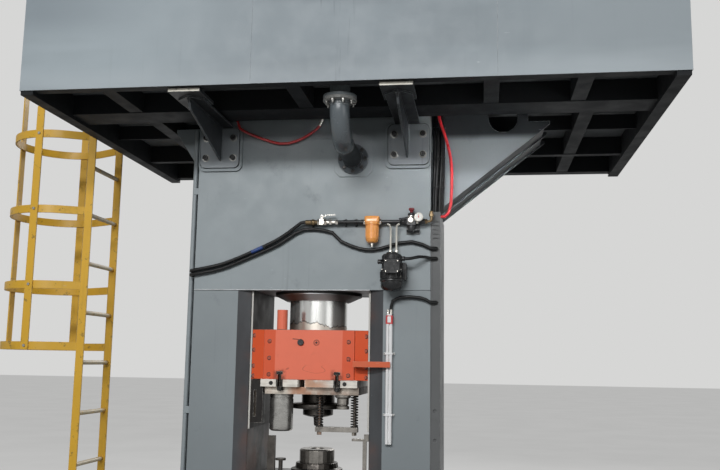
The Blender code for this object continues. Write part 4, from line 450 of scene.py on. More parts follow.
def build_materials():
    LOOKS.update(
        slate=paint("slate_paint", SLATE, SHADE, (196, 204, 208), specular=0.35),
        column=paint("column_paint", SLATE, SHADE, (190, 198, 202), seed=1.0, marks=column_marks,
                     specular=0.35),
        # Lighter than the slate paint: painted light on the right bracket's web, which stands lit
        bracket=paint("bracket_paint", (168, 177, 182), SHADE, (204, 210, 214), wear=0.9, seed=1.5,
                      marks=bracket_marks, specular=0.12),
        strut=paint("strut_paint", (150, 157, 162), (30, 32, 34), (200, 206, 208), 0.40, wear=0.8, seed=2.0,
                    marks=strut_marks, specular=0.3),
        pad=paint("pad_paint", SLATE, SHADE, (196, 204, 208), marks=pad_marks, specular=0.2),
        elbow=paint("pipe_paint", (94, 102, 107), (34, 37, 40), (200, 204, 204), 0.27, smudge=0.5, wear=0.95,
                    seed=4.0, marks=elbow_marks, specular=0.6),
        # A darker, duller copy of the pipe paint for the stretch in shade: painted shade
        elbow_foot=paint("pipe_foot_paint", (90, 97, 102), (34, 37, 40), (190, 194, 194), 0.55, smudge=0.5,
                         wear=0.9, seed=4.2, marks=elbow_marks, specular=0.12),
        duct=paint("duct_paint", (99, 101, 102), (48, 49, 50), (170, 172, 172), seed=5.0, specular=0.3),
        # Nearly black: painted shade on the platform's frame
        dark=paint("dark_paint", (37, 39, 41), (16, 17, 18), (88, 91, 93), 0.6, seed=6.0, specular=0.12),
        deck=paint("deck_paint", (126, 130, 133), (36, 38, 40), (150, 153, 155), 0.6, smudge=0.5, seed=6.5,
                   marks=deck_marks, specular=0.12),
        machine=paint("machine_paint", (84, 90, 95), (24, 26, 28), (160, 164, 166), 0.42, seed=7.0),
        fascia=paint("fascia_paint", (163, 174, 180), (100, 106, 110), (208, 214, 216), 0.42, 0.12, 0.03,
                     tone=0.02, seed=8.0, marks=fascia_marks, specular=0.14, dents=0.03),
        orange=paint("orange_paint", (244, 126, 98), (128, 60, 44), (236, 176, 150), 0.42, 0.18, 0.22,
                     tone=0.05, seed=9.0, marks=slide_marks, specular=0.3),
        post=paint("arm_paint", (222, 108, 72), (110, 56, 40), (236, 186, 160), 0.42, 0.2, 0.5, seed=9.5,
                   specular=0.3),
        screw=paint("screw_paint", (176, 76, 50), (70, 34, 24), (210, 140, 110), 0.45, seed=9.7),
        yellow=paint("yellow_paint", (222, 174, 50), (96, 80, 46), (206, 190, 150), 0.45, wear=0.75,
                     chips=0.6, smudge=0.4, seed=10.0, marks=ladder_marks),
        motor=paint("motor_paint", (52, 74, 102), (22, 28, 36), (140, 150, 160), 0.42, seed=11.0),
        white=paint("white_paint", (247, 248, 249), (140, 138, 132), (250, 250, 248), 0.34, 0.12, 0.12,
                    tone=0.02, seed=12.0),
        # Near-white, so that the lit middle of the gland's underside shows pale: painted light; gland_marks
        # paints the shade round it
        gland=paint("gland_face", (232, 234, 236), (120, 116, 112), (240, 240, 238), 0.45, 0.1, 0.15,
                    dirt_and_shade=0.3, seed=12.5, marks=gland_marks, specular=0.15),
        rail=paint("rail_steel", (34, 32, 30), (14, 13, 12), (150, 148, 144), 0.5, 0.5, 0.5, seed=3.5,
                   marks=rail_marks, specular=0.15),
        steel=metal("bright_steel", (206, 202, 194), (96, 86, 76), 0.34, 0.3, 0.25, GRAIN),
        shoe=metal("shoe_steel", (212, 208, 200), (96, 84, 72), 0.36, 0.3, 0.30, GRAIN, metallic=0.7,
                   seed=0.5, marks=shoe_marks),
        plate=metal("plate_steel", (206, 198, 186), (96, 74, 58), 0.36, 0.4, 0.35, GRAIN, metallic=0.7,
                    seed=1.0, marks=plate_marks),
        tool=metal("tool_steel", (150, 146, 140), (44, 40, 36), 0.34, 0.6, grain=(1, 1, 6), seed=2.0),
        oily=metal("dark_steel", (86, 82, 78), (22, 20, 18), 0.36, 0.6, grain=(1, 1, 5), seed=3.0),
        spring=metal("spring_steel", (72, 70, 68), (22, 20, 19), 0.38, 0.5, grain_scale=90.0, metallic=0.6,
                     seed=4.5),
        turned=metal("turned_steel", (186, 185, 181), (74, 70, 66), 0.28, 0.45, grain=(0.4, 0.4, 9),
                     seed=4.0),
        bolt=metal("bolt_steel", (164, 164, 160), (60, 54, 48), 0.35, 0.5, grain_scale=120.0, seed=5.0),
        black_bolt=metal("black_bolt", (52, 52, 52), (18, 17, 16), 0.38, 0.5, grain_scale=120.0, seed=6.0),
        nickel=metal("nickel_plate", (224, 220, 212), (130, 118, 102), 0.24, 0.25, grain_scale=90.0,
                     seed=7.0),
        brass=metal("brass", (128, 110, 82), (74, 56, 36), 0.32, 0.5, grain_scale=90.0, seed=8.0),
        pipe=metal("black_pipe", (40, 41, 42), (14, 14, 14), 0.34, 0.3, grain=(0.1, 1, 1), metallic=0.5,
                   seed=9.0),
        bead=metal("weld_bead", (206, 210, 212), (110, 112, 114), 0.40, 0.3, grain=(1, 8, 8), metallic=0.2,
                   seed=10.0),
        black=moulded("black_plastic", (34, 35, 37), 0.34),
        pump=moulded("pump_black", (24, 25, 27), 0.24, 0.10, 120.0, worn=(150, 150, 150), seed=9.0,
                     specular=0.35),
        rubber=moulded("hose_rubber", (18, 19, 20), 0.36, 0.04, seed=1.0, specular=0.28),
        blue=moulded("hose_sleeve", (34, 66, 128), 0.42, seed=2.0),
        bright_red=moulded("bright_red_hose", (240, 40, 50), 0.34, worn=(244, 110, 104), coat=0.3, seed=3.5),
        red=moulded("red_plastic", (196, 40, 42), 0.34, worn=(214, 90, 84), coat=0.3, seed=3.0),
        dark_red=moulded("knob_red", (118, 26, 32), 0.36, seed=4.0),
        filter=moulded("filter_orange", (255, 170, 82), 0.26, 0.03, tone=0.03, worn=(255, 206, 150), coat=0.5,
                       seed=5.0),
        cream=moulded("tube_white", (218, 216, 206), 0.36, 0.05, tone=0.06, seed=6.0),
        dial=moulded("dial_white", (236, 236, 230), 0.30, 0.02, tone=0.03, seed=7.0),
        tie=moulded("cable_tie", (30, 30, 31), 0.4, 0.03, seed=8.0, specular=0.3),
        ram=chrome_ram(),
    )


# Mesh code
def aim(point, direction=(0, 0, 1)):
    """A frame at the point whose Z runs along the direction."""
    return Matrix.Translation(point) @ Vector(direction).to_track_quat("Z", "Y").to_matrix().to_4x4()


def at(x, y, z):
    return Matrix.Translation((x, y, z))


def facing(x, y, z):
    """A frame whose X is the world's X, whose Y is up and whose Z comes out of the front."""
    return at(x, y, z) @ spin(90, "X")


def spin(degrees, axis="Z"):
    return Matrix.Rotation(math.radians(degrees), 4, axis)


def around(count, radius, centre=(0, 0), start=0.0):
    """Points on a circle. start is a share of the step between them."""
    for k in range(count):
        turn = 2 * math.pi * (k + start) / count
        yield centre[0] + radius * math.cos(turn), centre[1] + radius * math.sin(turn)


def ring_of(form, place, outline, height):
    """The corners of an outline in XY at a height."""
    return [form.verts.new(place @ Vector((x, y, height))) for x, y in outline]


def skin(form, rings, looped=False):
    """Joins rings of as many points each, and closes the first and the last unless they meet."""
    for low, high in zip(rings, rings[1:] + rings[:1] if looped else rings[1:]):
        for k in range(len(low)):
            n = (k + 1) % len(low)
            form.faces.new((low[k], low[n], high[n], high[k]))
    if not looped:
        form.faces.new(rings[0][::-1])
        form.faces.new(rings[-1])


def lathe(form, profile, place, steps=64, ring=False):
    """Turns (radius, height) pairs round the place's Z axis. A ring closes on itself."""
    rings = [ring_of(form, place, around(steps, radius) if radius > 0 else [(0, 0)], height)
             for radius, height in profile]
    for low, high in zip(rings, rings[1:] + rings[:1] if ring else rings[1:]):
        for k in range(steps):
            n = (k + 1) % steps
            if len(low) == len(high) == 1:
                break
            corners = [low[0]] if len(low) == 1 else [low[k], low[n]]
            corners += [high[0]] if len(high) == 1 else [high[n], high[k]]
            form.faces.new(corners)


def prism(form, outline, low, high, place):
    """An outline in XY raised along Z."""
    skin(form, [ring_of(form, place, outline, height) for height in (low, high)])


def slab(form, outline, low, high, place, rim=0.0015):
    """An outline in XY raised along Z, with its top edge broken."""
    mid = [sum(q[k] for q in outline) / len(outline) for k in (0, 1)]
    reach = max(max(abs(q[k] - mid[k]) for q in outline) for k in (0, 1))
    share = 1 - rim / reach
    inner = [(mid[0] + (x - mid[0]) * share, mid[1] + (y - mid[1]) * share) for x, y in outline]
    levels = ((outline, low), (outline, high - rim), (inner, high))
    skin(form, [ring_of(form, place, line, height) for line, height in levels])


def ring_plate(form, outer, inner, low, high, place):
    """A flat ring between two outlines of as many points."""
    levels = ((outer, low), (outer, high), (inner, high), (inner, low))
    skin(form, [ring_of(form, place, line, height) for line, height in levels], looped=True)


def rounded(wide, tall, radius, centre=(0, 0), steps=6):
    """The outline of a rectangle with round corners."""
    points = []
    for sx, sy, start in ((1, 1, 0), (-1, 1, 90), (-1, -1, 180), (1, -1, 270)):
        x, y = centre[0] + sx * (wide / 2 - radius), centre[1] + sy * (tall / 2 - radius)
        for k in range(steps + 1):
            turn = math.radians(start + 90 * k / steps)
            points.append((x + radius * math.cos(turn), y + radius * math.sin(turn)))
    return points


def oblong(x0, x1, y0, y1):
    return [(x0, y0), (x1, y0), (x1, y1), (x0, y1)]


def smooth_route(points, spacing):
    """Points about a spacing apart along a Catmull-Rom curve through the route, as part.py lays it."""
    route = [Vector(point) for point in points]
    route = [2 * route[0] - route[1], *route, 2 * route[-1] - route[-2]]
    found = [route[1]]
    for before, start, end, after in zip(route, route[1:], route[2:], route[3:]):
        count = max(1, round((end - start).length / spacing))
        bend = 2 * before - 5 * start + 4 * end - after
        twist = 3 * start - before - 3 * end + after
        for t in (step / count for step in range(1, count + 1)):
            found.append(0.5 * (2 * start + (end - before) * t + bend * t**2 + twist * t**3))
    return found


def length_of(points):
    return sum((b - a).length for a, b in zip(points, points[1:]))


def tube(form, points, radius, sides=16, swell=None):
    """A round bar along a chain of points. swell gives the radius at a share of the length."""
    points = [Vector(p) for p in points]
    side = (points[1] - points[0]).normalized().orthogonal().normalized()
    rings = []
    for k, point in enumerate(points):
        ahead = (points[min(k + 1, len(points) - 1)] - points[max(k - 1, 0)]).normalized()
        side = (side - ahead * side.dot(ahead)).normalized()
        other = ahead.cross(side)
        r = swell(k / (len(points) - 1)) * radius if swell else radius
        rings.append([form.verts.new(point + side * a + other * b) for a, b in around(sides, r)])
    skin(form, rings)


def bar(form, start, end, radius, steps=32, rim=0.0008):
    """A round bar with broken edges."""
    along = Vector(end) - Vector(start)
    tall = along.length
    rim = min(rim, tall / 3)
    flat = radius - rim
    profile = ((0, 0), (flat, 0), (radius, rim), (radius, tall - rim), (flat, tall), (0, tall))
    lathe(form, profile, aim(start, along), steps)


def nut(form, start, end, radius):
    """A hexagon nut chamfered on both faces."""
    along = Vector(end) - Vector(start)
    tall = along.length
    flat, cut = 0.86 * radius, 0.12 * radius
    profile = ((0, 0), (flat, 0), (radius, cut), (radius, tall - cut), (flat, tall), (0, tall))
    lathe(form, profile, aim(start, along), 6)


def along_x(form, y, z, *rows):
    """Nuts and bars on one axis that runs to the right: shape, start, end, radius."""
    for shape, start, end, radius in rows:
        shape(form, (start, y, z), (end, y, z), radius)


def along_z(form, x, y, *rows):
    """Nuts and bars on one upright axis: shape, start, end, radius."""
    for shape, start, end, radius in rows:
        shape(form, (x, y, start), (x, y, end), radius)


def hexagon(form, place, radius, height):
    """A chamfered hexagon head standing on the place."""
    profile = ((0, 0), (radius, 0), (radius, height - 0.14 * radius), (0.86 * radius, height), (0, height))
    lathe(form, profile, place, 6)


def washer(form, place, radius, thick=0.003):
    profile = ((0, 0), (radius, 0), (radius, thick * 0.7), (radius - 0.3 * thick, thick), (0, thick))
    lathe(form, profile, place, 32)


def socket_screw(form, place, radius, height):
    """A cap screw with its hexagon socket."""
    shares = ((0, 0), (1, 0), (1, 0.85), (0.9, 1), (0.58, 1), (0.5, 0.45), (0, 0.42))
    lathe(form, [(radius * out, height * up) for out, up in shares], place, 24)


def weld(form, start, end, radius=0.005, seed=1):
    """A weld bead: scales along a line, half sunk in the corner that it fills."""
    chance = random.Random(seed)
    start, end = Vector(start), Vector(end)
    count = max(4, int((end - start).length / (radius * 0.9)))
    points = [start.lerp(end, k / count) + Vector([chance.uniform(-0.06, 0.06) * radius for _ in range(3)])
              for k in range(count + 1)]
    tube(form, points, radius, 8,
         lambda t: 0.86 + 0.14 * (int(t * count) % 2) + 0.06 * math.sin(37 * t * seed))


def round_edges(thing, width):
    edges = thing.modifiers.new("edges", "BEVEL")
    edges.width = width
    edges.segments = 2
    edges.limit_method = "ANGLE"
    edges.angle_limit = math.radians(40)


def forms(count):
    return [bmesh.new() for _ in range(count)]


def piece(name, form, look, body="press", replaces=None, smooth=35, bevel=0.0):
    bmesh.ops.recalc_face_normals(form, faces=form.faces[:])
    mesh = bpy.data.meshes.new(name)
    form.to_mesh(mesh)
    form.free()
    mesh.shade_smooth()
    mesh.set_sharp_from_angle(angle=math.radians(smooth))
    made = bpy.data.objects.new(name, mesh)
    SCENE.collection.objects.link(made)
    mesh.materials.append(LOOKS[look])
    if bevel:
        round_edges(made, bevel)
        made.modifiers.new("even", "WEIGHTED_NORMAL").keep_sharp = True
    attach(made, body)
    if replaces:
        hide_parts(replaces)
    return made


# Cords
DUCT_FRONT = FRONT + 0.006
CONDUIT_Y = FRONT + 0.050
PUMP_X = 0.489
PUMP_OUT = 0.105
NEAR = FRONT - 0.018
UNDER_DECK = 3.1283 - CLEAR
BUNDLE_X = HALF_W + 0.0385
BUNDLE_Y = FRONT + 0.044
SENSOR_X = 0.4775
SENSOR_Y = FRONT - 0.0112


def into_duct(z, radius):
    """Over the frame's right edge and into the duct's front."""
    x = HALF_W + 0.034
    out = FRONT - radius - 0.008
    return [(x - 0.034, out, z), (x - 0.014, out + 0.003, z), (x - 0.002, out + 0.014 - radius / 2, z),
            (x, DUCT_FRONT - 0.006, z), (x, DUCT_FRONT - CLEAR, z)]


def from_side_block(z):
    """Out of the conduit's block and over the frame's left edge."""
    side = -HALF_W - 0.0205
    return [
        (side, CONDUIT_Y - 0.016 - CLEAR, z),
        (side, CONDUIT_Y - 0.026, z),
        (side - 0.003, FRONT + 0.002, z + 0.001),
        (-HALF_W - 0.014, FRONT - 0.017, z + 0.002),
        (-HALF_W + 0.012, FRONT - 0.020 - 0.004, z + 0.005),
    ]


def level(y, *pairs):
    """Points of a route that lie as far out as each other."""
    return [(x, y, z) for x, z in pairs]


def level_in_x(x, *pairs):
    """Points that lie as far right as each other."""
    return [(x, y, z) for y, z in pairs]


def beside_bundle(*rows):
    """Points of a route from how far right of the frame and in front of the bundle they lie."""
    return [(HALF_W + out, BUNDLE_Y - near, z) for out, near, z in rows]


def before_frame(*rows):
    """Points of a route from how far in front of the frame they lie."""
    return [(x, FRONT - near, z) for x, near, z in rows]


ROUTES = {
    "air_hose": (0.010, "rubber", "hose_rubber", [
        *from_side_block(2.110), *level(NEAR, (-0.527, 2.150), (-0.351, 2.220)),
        (-0.193, NEAR - 0.004, 2.294), (-0.093, NEAR - 0.010, 2.362),
        *level(AIR_Y, (-0.056, 2.388), (-0.040, AIR_Z), (-0.026 - CLEAR, AIR_Z))]),
    "long_cable": (0.010, "rubber", "hose_rubber", [
        *from_side_block(2.086),
        *level(NEAR, (-0.527, 2.124), (-0.351, 2.194), (-0.193, 2.264), (-0.093, 2.330), (-0.040, 2.352),
               (0.020, 2.355), (0.129, 2.334), (0.181, 2.282), (0.287, 2.240), (0.370, 2.231), (0.451, 2.250),
               (0.524, 2.271), (0.595, 2.278), (0.655, 2.262)),
        *into_duct(2.240, 0.010)]),
    "pump_cable": (0.009, "rubber", "hose_rubber", [
        *level(FRONT - PUMP_OUT, (PUMP_X + 0.076 + CLEAR, 2.170), (PUMP_X + 0.100, 2.170)),
        *before_frame((0.640, 0.075, 2.184), (0.670, 0.040, 2.187)), *into_duct(2.183, 0.009)]),
    "sensor_cable": (0.009, "rubber", "hose_rubber", [
        *level(SENSOR_Y, (SENSOR_X, 1.889 + CLEAR), (SENSOR_X, 1.908)),
        *level(NEAR, (0.487, 1.938), (0.528, 1.958), (0.585, 1.962), (0.642, 1.957), (0.672, 1.948)),
        *into_duct(1.932, 0.009)]),
    "right_cable_bundle": (0.036, "rubber", "hose_rubber", [
        (BUNDLE_X, BUNDLE_Y, 2.455 + CLEAR), (BUNDLE_X, BUNDLE_Y, 2.56),
        (BUNDLE_X + 0.006, BUNDLE_Y - 0.002, 2.70), (BUNDLE_X + 0.008, BUNDLE_Y - 0.002, 2.86),
        (BUNDLE_X + 0.004, BUNDLE_Y, 3.00), (BUNDLE_X + 0.004, BUNDLE_Y, UNDER_DECK)]),
    "red_cable": (0.009, "bright_red", "red_plastic", beside_bundle(
        (0.055 + 2 * CLEAR, 0.005, 2.432), (0.078, 0.005, 2.432), (0.102, 0.005, 2.456),
        (0.114, 0.006, 2.503), (0.120, 0.010, 2.650), (0.114, 0.020, 2.771), (0.086, 0.040, 2.892),
        (0.050, 0.062, 3.000),
        (0.044, 0.066, 3.060), (0.044, 0.066, UNDER_DECK))),
    "red_air_hose": (0.008, "red", "red_plastic", before_frame(
        (-0.455, 0.036, UNDER_DECK), (-0.455, 0.036, 3.080), (-0.464, 0.035, 3.020), (-0.445, 0.033, 2.968),
        (-0.343, 0.024, 2.918), (-0.199, 0.020, 2.873), (-0.100, 0.020, 2.886), (-0.006, 0.022, 2.934),
        (0.040, 0.028, 2.975), (0.062, 0.034, 3.030), (0.066, 0.034, 3.085), (0.066, 0.034, UNDER_DECK))),
}


def build_cords():
    """Every cord but the right bundle, which build_bundles lays as seven hoses."""
    for name, (radius, look, slot, route) in ROUTES.items():
        if name == "right_cable_bundle":
            continue
        points = smooth_route(route, radius * 5)
        length = length_of(points)
        curve = bpy.data.curves.new(f"{name}_line", "CURVE")
        curve.dimensions = "3D"
        curve.bevel_depth = radius
        curve.bevel_resolution = 6
        curve.use_fill_caps = True
        line = curve.splines.new("POLY")
        line.points.add(len(points) - 1)
        for point, place in zip(line.points, points):
            point.co = (*place, 1)
        line.use_smooth = True
        made = bpy.data.objects.new(f"{name}_run", curve)
        SCENE.collection.objects.link(made)
        curve.materials.append(LOOKS[look])
        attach(made, "press")
        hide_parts(name)
        2 * radius
        print("cord", name, round(length, 3))


# Stage
LAMPS = (
    ("key", (-0.9, -9.5, 6.12), (0.2, -0.3, 2.5), 6.0, 0.9, 515.0, 180),
    ("key_low", (-0.9, -9.5, 4.15), (0.2, -0.3, 2.5), 6.0, 0.5, 120.0, 180),
    ("fill", (6.5, -5.0, 3.0), (0.3, 0.0, 1.8), 3.0, 3.0, 30.0, 180),
    ("low", (3.6, -1.6, 1.6), (1.06, -0.19, 2.74), 0.4, 0.4, 1.2, 22),
    ("back", (2.0, 7.5, 6.0), (0.0, 0.5, 2.6), 5.0, 3.0, 330.0, 180),
)
FLOOR_HALF = 60


def seen_by_camera(tree, plain, seen):
    """A shader that the camera and reflections see, so that a pale backdrop doesn't light the object."""
    path = tree.nodes.new("ShaderNodeLightPath")
    either = tree.nodes.new("ShaderNodeMath")
    either.operation = "MAXIMUM"
    choose = tree.nodes.new("ShaderNodeMixShader")
    for source, target in (
        (path.outputs["Is Camera Ray"], either.inputs[0]),
        (path.outputs["Is Glossy Ray"], either.inputs[1]),
        (either.outputs[0], choose.inputs[0]),
        (plain, choose.inputs[1]),
        (seen, choose.inputs[2]),
    ):
        tree.links.new(source, target)
    return choose.outputs[0]


def build_floor():
    """A floor that looks pale and lights the object as a dark one would."""
    form = bmesh.new()
    prism(form, oblong(-FLOOR_HALF, FLOOR_HALF, -FLOOR_HALF, FLOOR_HALF), -0.02, 0.0, Matrix.Identity(4))
    mesh = bpy.data.meshes.new("floor")
    form.to_mesh(mesh)
    form.free()
    floor = bpy.data.objects.new("floor", mesh)
    SCENE.collection.objects.link(floor)
    net = Net("floor")
    stains = net.noise(0.8, 5).band(0.3, 0.7)
    net.base = net.mix(stains, (92, 92, 91), (98, 98, 97))
    pale = net.mix(stains, (226, 226, 225), (230, 230, 229))
    net.close(0.75, 0.0, ((net.noise(30.0, 4), 0.03, 0.002),))
    end = next(n for n in net.tree.nodes if n.type == "OUTPUT_MATERIAL").inputs["Surface"]
    dark = end.links[0].from_socket
    lit = net.node("BsdfDiffuse", Color=pale)
    glow = net.node("Emission", Color=pale, Strength=0.80)
    both = net.node("MixShader")
    for slot, value in enumerate((0.72, lit.outputs[0], glow.outputs[0])):
        net.put(both.inputs[slot], value)
    net.put(end, seen_by_camera(net.tree, dark, both.outputs[0]))
    mesh.materials.append(net.material)


def build_lights():
    world = bpy.data.worlds.new("studio")
    SCENE.world = world
    world.use_nodes = True
    tree = world.node_tree
    tree.nodes.clear()
    fill, seen = (tree.nodes.new("ShaderNodeBackground") for _ in range(2))
    fill.inputs["Color"].default_value = (1.0, 0.99, 0.97, 1.0)
    fill.inputs["Strength"].default_value = 0.15
    seen.inputs["Color"].default_value = srgb(214, 214, 213)
    end = tree.nodes.new("ShaderNodeOutputWorld")
    tree.links.new(seen_by_camera(tree, fill.outputs[0], seen.outputs[0]), end.inputs["Surface"])
    for name, place, target, wide, tall, power, spread in LAMPS:
        data = bpy.data.lights.new(name, "AREA")
        data.shape = "RECTANGLE"
        data.size = wide
        data.size_y = tall
        data.energy = power
        data.spread = math.radians(spread)
        lamp = bpy.data.objects.new(name, data)
        lamp.location = place
        lamp.rotation_euler = (Vector(target) - Vector(place)).to_track_quat("-Z", "Y").to_euler()
        SCENE.collection.objects.link(lamp)
    SCENE.view_settings.view_transform = "Standard"


# Finish of the CAD nodes: look, width of the broken edges, nodes
COATS = (
    ("slate", 0.002, "crown bed left_bracket side_conduit oil_tank"),
    ("column", 0.002, "left_column right_column"),
    ("bracket", 0.001, "right_bracket"),
    ("strut", 0.001, "left_strut right_strut"),
    ("duct", 0.0015, "cable_duct"),
    ("fascia", 0.001, "fascia_left fascia_centre fascia_right"),
    ("dark", 0.001, "platform_frame"),
    ("deck", 0.001, "deck_plate"),
    ("machine", 0.0015, "ejector_cylinder hydraulic_pump valve_manifold"),
    ("rail", 0.001, "left_guide_rail right_guide_rail"),
    ("shoe", 0.001, "upper_shoe"),
    ("plate", 0.001, "upper_plate"),
    ("steel", 0.001, "motor_shaft"),
    ("orange", 0.002, "slide"),
    ("post", 0.002, "pointer_arm"),
    ("oily", 0.0015, "bolster_plate lower_die_holder tool_post"),
    ("tool", 0.001, "tool_bracket stripper_bar lower_die"),
    ("yellow", 0.001, "ladder"),
    ("ram", 0.0, "ejector_rod"),
)


def coat_nodes():
    for look, width, names in COATS:
        for node in (NODES[name] for name in names.split()):
            for slot in node.material_slots:
                slot.material = LOOKS[look]
            if width:
                node.modifiers.new("join", "WELD").merge_threshold = 0.00002
                round_edges(node, width)


def build_frame_detail():
    """The crown's seam, and the welds, pads, washers and screws of the struts."""
    seam, joins, rings, pads, heads = forms(5)
    weld(seam, (-0.699, -0.2895, WINDOW_TOP), (0.353, -0.2895, WINDOW_TOP), 0.0035, 3)
    for sign in (-1, 1):
        for off in (-1, 1):
            x = sign * 0.563 + off * 0.008
            weld(joins, (x, -0.310, 2.790), (x, -0.310, 2.972), 0.005, 5 + off)
            weld(joins, (x, -0.32, 2.976), (x, -0.90, 2.976), 0.005, 9 + off)
        for x in (sign * 0.570 - 0.084, sign * 0.570 + 0.084):
            for z in (2.792, 2.914):
                washer(rings, aim((x, -0.3083, z), OUT), 0.0228, 0.0035)
                socket_screw(heads, aim((x, -0.3225, z), OUT), 0.0160, 0.0075)
        outer = rounded(0.268, 0.273, 0.039, (sign * 0.566, 2.8485))
        inner = rounded(0.2460, 0.2510, 0.0340, (sign * 0.570, 2.8535))
        ring_plate(pads, outer, inner, 0.0, 0.012, facing(0, WALL, 0))
    piece("crown_seam", seam, "bead", smooth=60)
    piece("strut_welds", joins, "strut", smooth=60)
    piece("strut_washers", rings, "bolt")
    piece("strut_pads", pads, "pad", smooth=30)
    piece("strut_screws", heads, "black_bolt")


PIPE_R = 0.054
PIPE_Z = 2.772
DROP_Y = -0.805
BOLT_CIRCLE = 0.073
COLLAR = (
    (0.05, 0.0), (0.089, 0.0), (0.090, 0.001), (0.090, 0.014), (0.0885, 0.016), (0.062, 0.016),
    (0.058, 0.020), (0.055, 0.026), (0.05, 0.026),
)


def build_elbow():
    """The oil pipe: its bend with the upper flange, its foot with the wall flange, and the bolts of both."""
    wall = FRONT - 0.008 - CLEAR
    form, foot, bolts, wall_bolts = forms(4)
    tube(foot, level_in_x(PIPE_X, (wall - 0.002, PIPE_Z), (-0.45, PIPE_Z), (-0.636, PIPE_Z)), PIPE_R, 48)
    bend = [math.radians(270 - 90 * k / 24) for k in range(25)]
    bend = [(-0.635 + 0.17 * math.cos(turn), 2.942 + 0.17 * math.sin(turn)) for turn in bend]
    tube(form, level_in_x(PIPE_X, *bend, (DROP_Y, 2.978)), PIPE_R, 48)
    bead = [(0.0535 + 0.003 * math.sin(math.pi * k / 6), 0.008 * (k / 6 - 0.5)) for k in range(7)]
    lathe(form, bead, aim((PIPE_X, -0.634, PIPE_Z), (0, 1, 0)), 48)
    lathe(form, bead, aim((PIPE_X, DROP_Y, 2.944)), 48)
    lathe(foot, COLLAR, aim((PIPE_X, wall, PIPE_Z), OUT), 64)
    lathe(form, COLLAR, aim((PIPE_X, DROP_Y, 2.980), DOWN), 64)
    for x, z in around(8, BOLT_CIRCLE, (PIPE_X, PIPE_Z)):
        washer(wall_bolts, aim((x, wall - 0.016, z), OUT), 0.0125, 0.002)
        hexagon(wall_bolts, aim((x, wall - 0.018, z), OUT), 0.0105, 0.009)
    for x, y in around(8, BOLT_CIRCLE, (PIPE_X, DROP_Y), 0.5):
        washer(bolts, aim((x, y, 2.964), DOWN), 0.0135, 0.002)
        hexagon(bolts, aim((x, y, 2.962), DOWN), 0.0105, 0.009)
        shank = ((0, 0), (0.006, 0), (0.006, 0.010), (0.005, 0.012), (0, 0.012))
        lathe(bolts, shank, aim((x, y, 2.953), DOWN), 16)
    piece("oil_pipe", form, "elbow", replaces="oil_pipe_elbow")
    piece("oil_pipe_foot", foot, "elbow_foot")
    piece("oil_pipe_bolts", bolts, "bolt")
    piece("oil_pipe_wall_bolts", wall_bolts, "black_bolt")


# Ram and tools, each turned: piece, look, node, slot, steps, axis in X and Y, (radius, height) pairs
TURNED = (
    ("ram_body", "ram", "ram", "chrome", 128, (0, 0), (
        (0, 2.56), (0.165, 2.56), (0.175, 2.55), (0.175, 1.7718), (0.1735, 1.7703), (0, 1.7703))),
    ("cylinder_body", "gland", "main_cylinder", "dark_steel", 96, (0, 0), (
        (0, 3.20), (0.215, 3.20), (0.235, 3.18), (0.235, 2.0), (0.265, 2.0), (0.265, 1.985), (0.2635, 1.9795),
        (0.257, 1.977), (0.250, 1.9745), (0.196, 1.949), (0.192, 1.948), (0.186, 1.948), (0.184, 1.952),
        (0.1753, 1.952), (0.1753, 3.05), (0, 3.05))),
    ("sleeve_body", "turned", "left_sleeve", "bright_steel", 64, (-0.181, -0.148), (
        (0, 1.400), (0.068, 1.400), (0.069, 1.399), (0.069, 1.380), (0.066, 1.378), (0.066, 1.372),
        (0.069, 1.370), (0.069, 1.199), (0.067, 1.194), (0.057, 1.187), (0.034, 1.187), (0.032, 1.195),
        (0, 1.195))),
    ("upper_die_body", "oily", "upper_die", "dark_steel", 96, (0, 0.05), (
        (0, 1.4001), (0.099, 1.4001), (0.100, 1.3991), (0.100, 1.3451), (0.102, 1.3431), (0.155, 1.3381),
        (0.160, 1.3351), (0.162, 1.3301), (0.162, 1.3151), (0.159, 1.3101), (0.150, 1.3081), (0.094, 1.3051),
        (0.092, 1.3031), (0.092, 1.2721), (0.088, 1.2681), (0.060, 1.2601), (0.030, 1.2551), (0.0265, 1.2501),
        (0.024, 1.212), (0.021, 1.205), (0, 1.205))),
    ("punch_body", "tool", "right_punch", "bright_steel", 48, (0.194, -0.21), (
        (0, 1.4001), (0.045, 1.4001), (0.046, 1.3991), (0.046, 1.3891), (0.045, 1.3881), (0.034, 1.3801),
        (0.034, 1.3481), (0.028, 1.3441), (0.028, 1.3421), (0.037, 1.3361), (0.037, 1.3211), (0.036, 1.3201),
        (0, 1.3201))),
)
SPRING_LOW = 1.2143
SPRING_Y = -0.140
SPRING_R = 0.0195
WIRE_R = 0.0035
SPRING_TURNS = 13


def build_press_parts():
    for name, look, node, slot, steps, axis, profile in TURNED:
        form = bmesh.new()
        lathe(form, profile, at(*axis, 0), steps)
        piece(name, form, look, "press" if node == "main_cylinder" else "slide_unit", node)
    tall = TOOL_TOP - SPRING_LOW
    count = SPRING_TURNS * 24
    for side, x in (("left", 0.046), ("right", 0.252)):
        points = []
        for share in (k / count for k in range(count + 1)):
            turn = 2 * math.pi * SPRING_TURNS * share
            # The end turns lie nearly flat
            ease = min(1.0, max(0.0, (share - 0.05) / 0.90))
            z = SPRING_LOW + 0.0037 + (tall - 0.0074) * (ease * 0.94 + share * 0.06)
            points.append((x + SPRING_R * math.cos(turn), SPRING_Y + SPRING_R * math.sin(turn), z))
        coil = bmesh.new()
        tube(coil, points, WIRE_R, 10)
        made = piece(f"{side}_spring_coil", coil, "spring", "slide_unit", f"{side}_spring",
                     smooth=70)
        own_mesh(made)


SLIDE_Y = -0.282


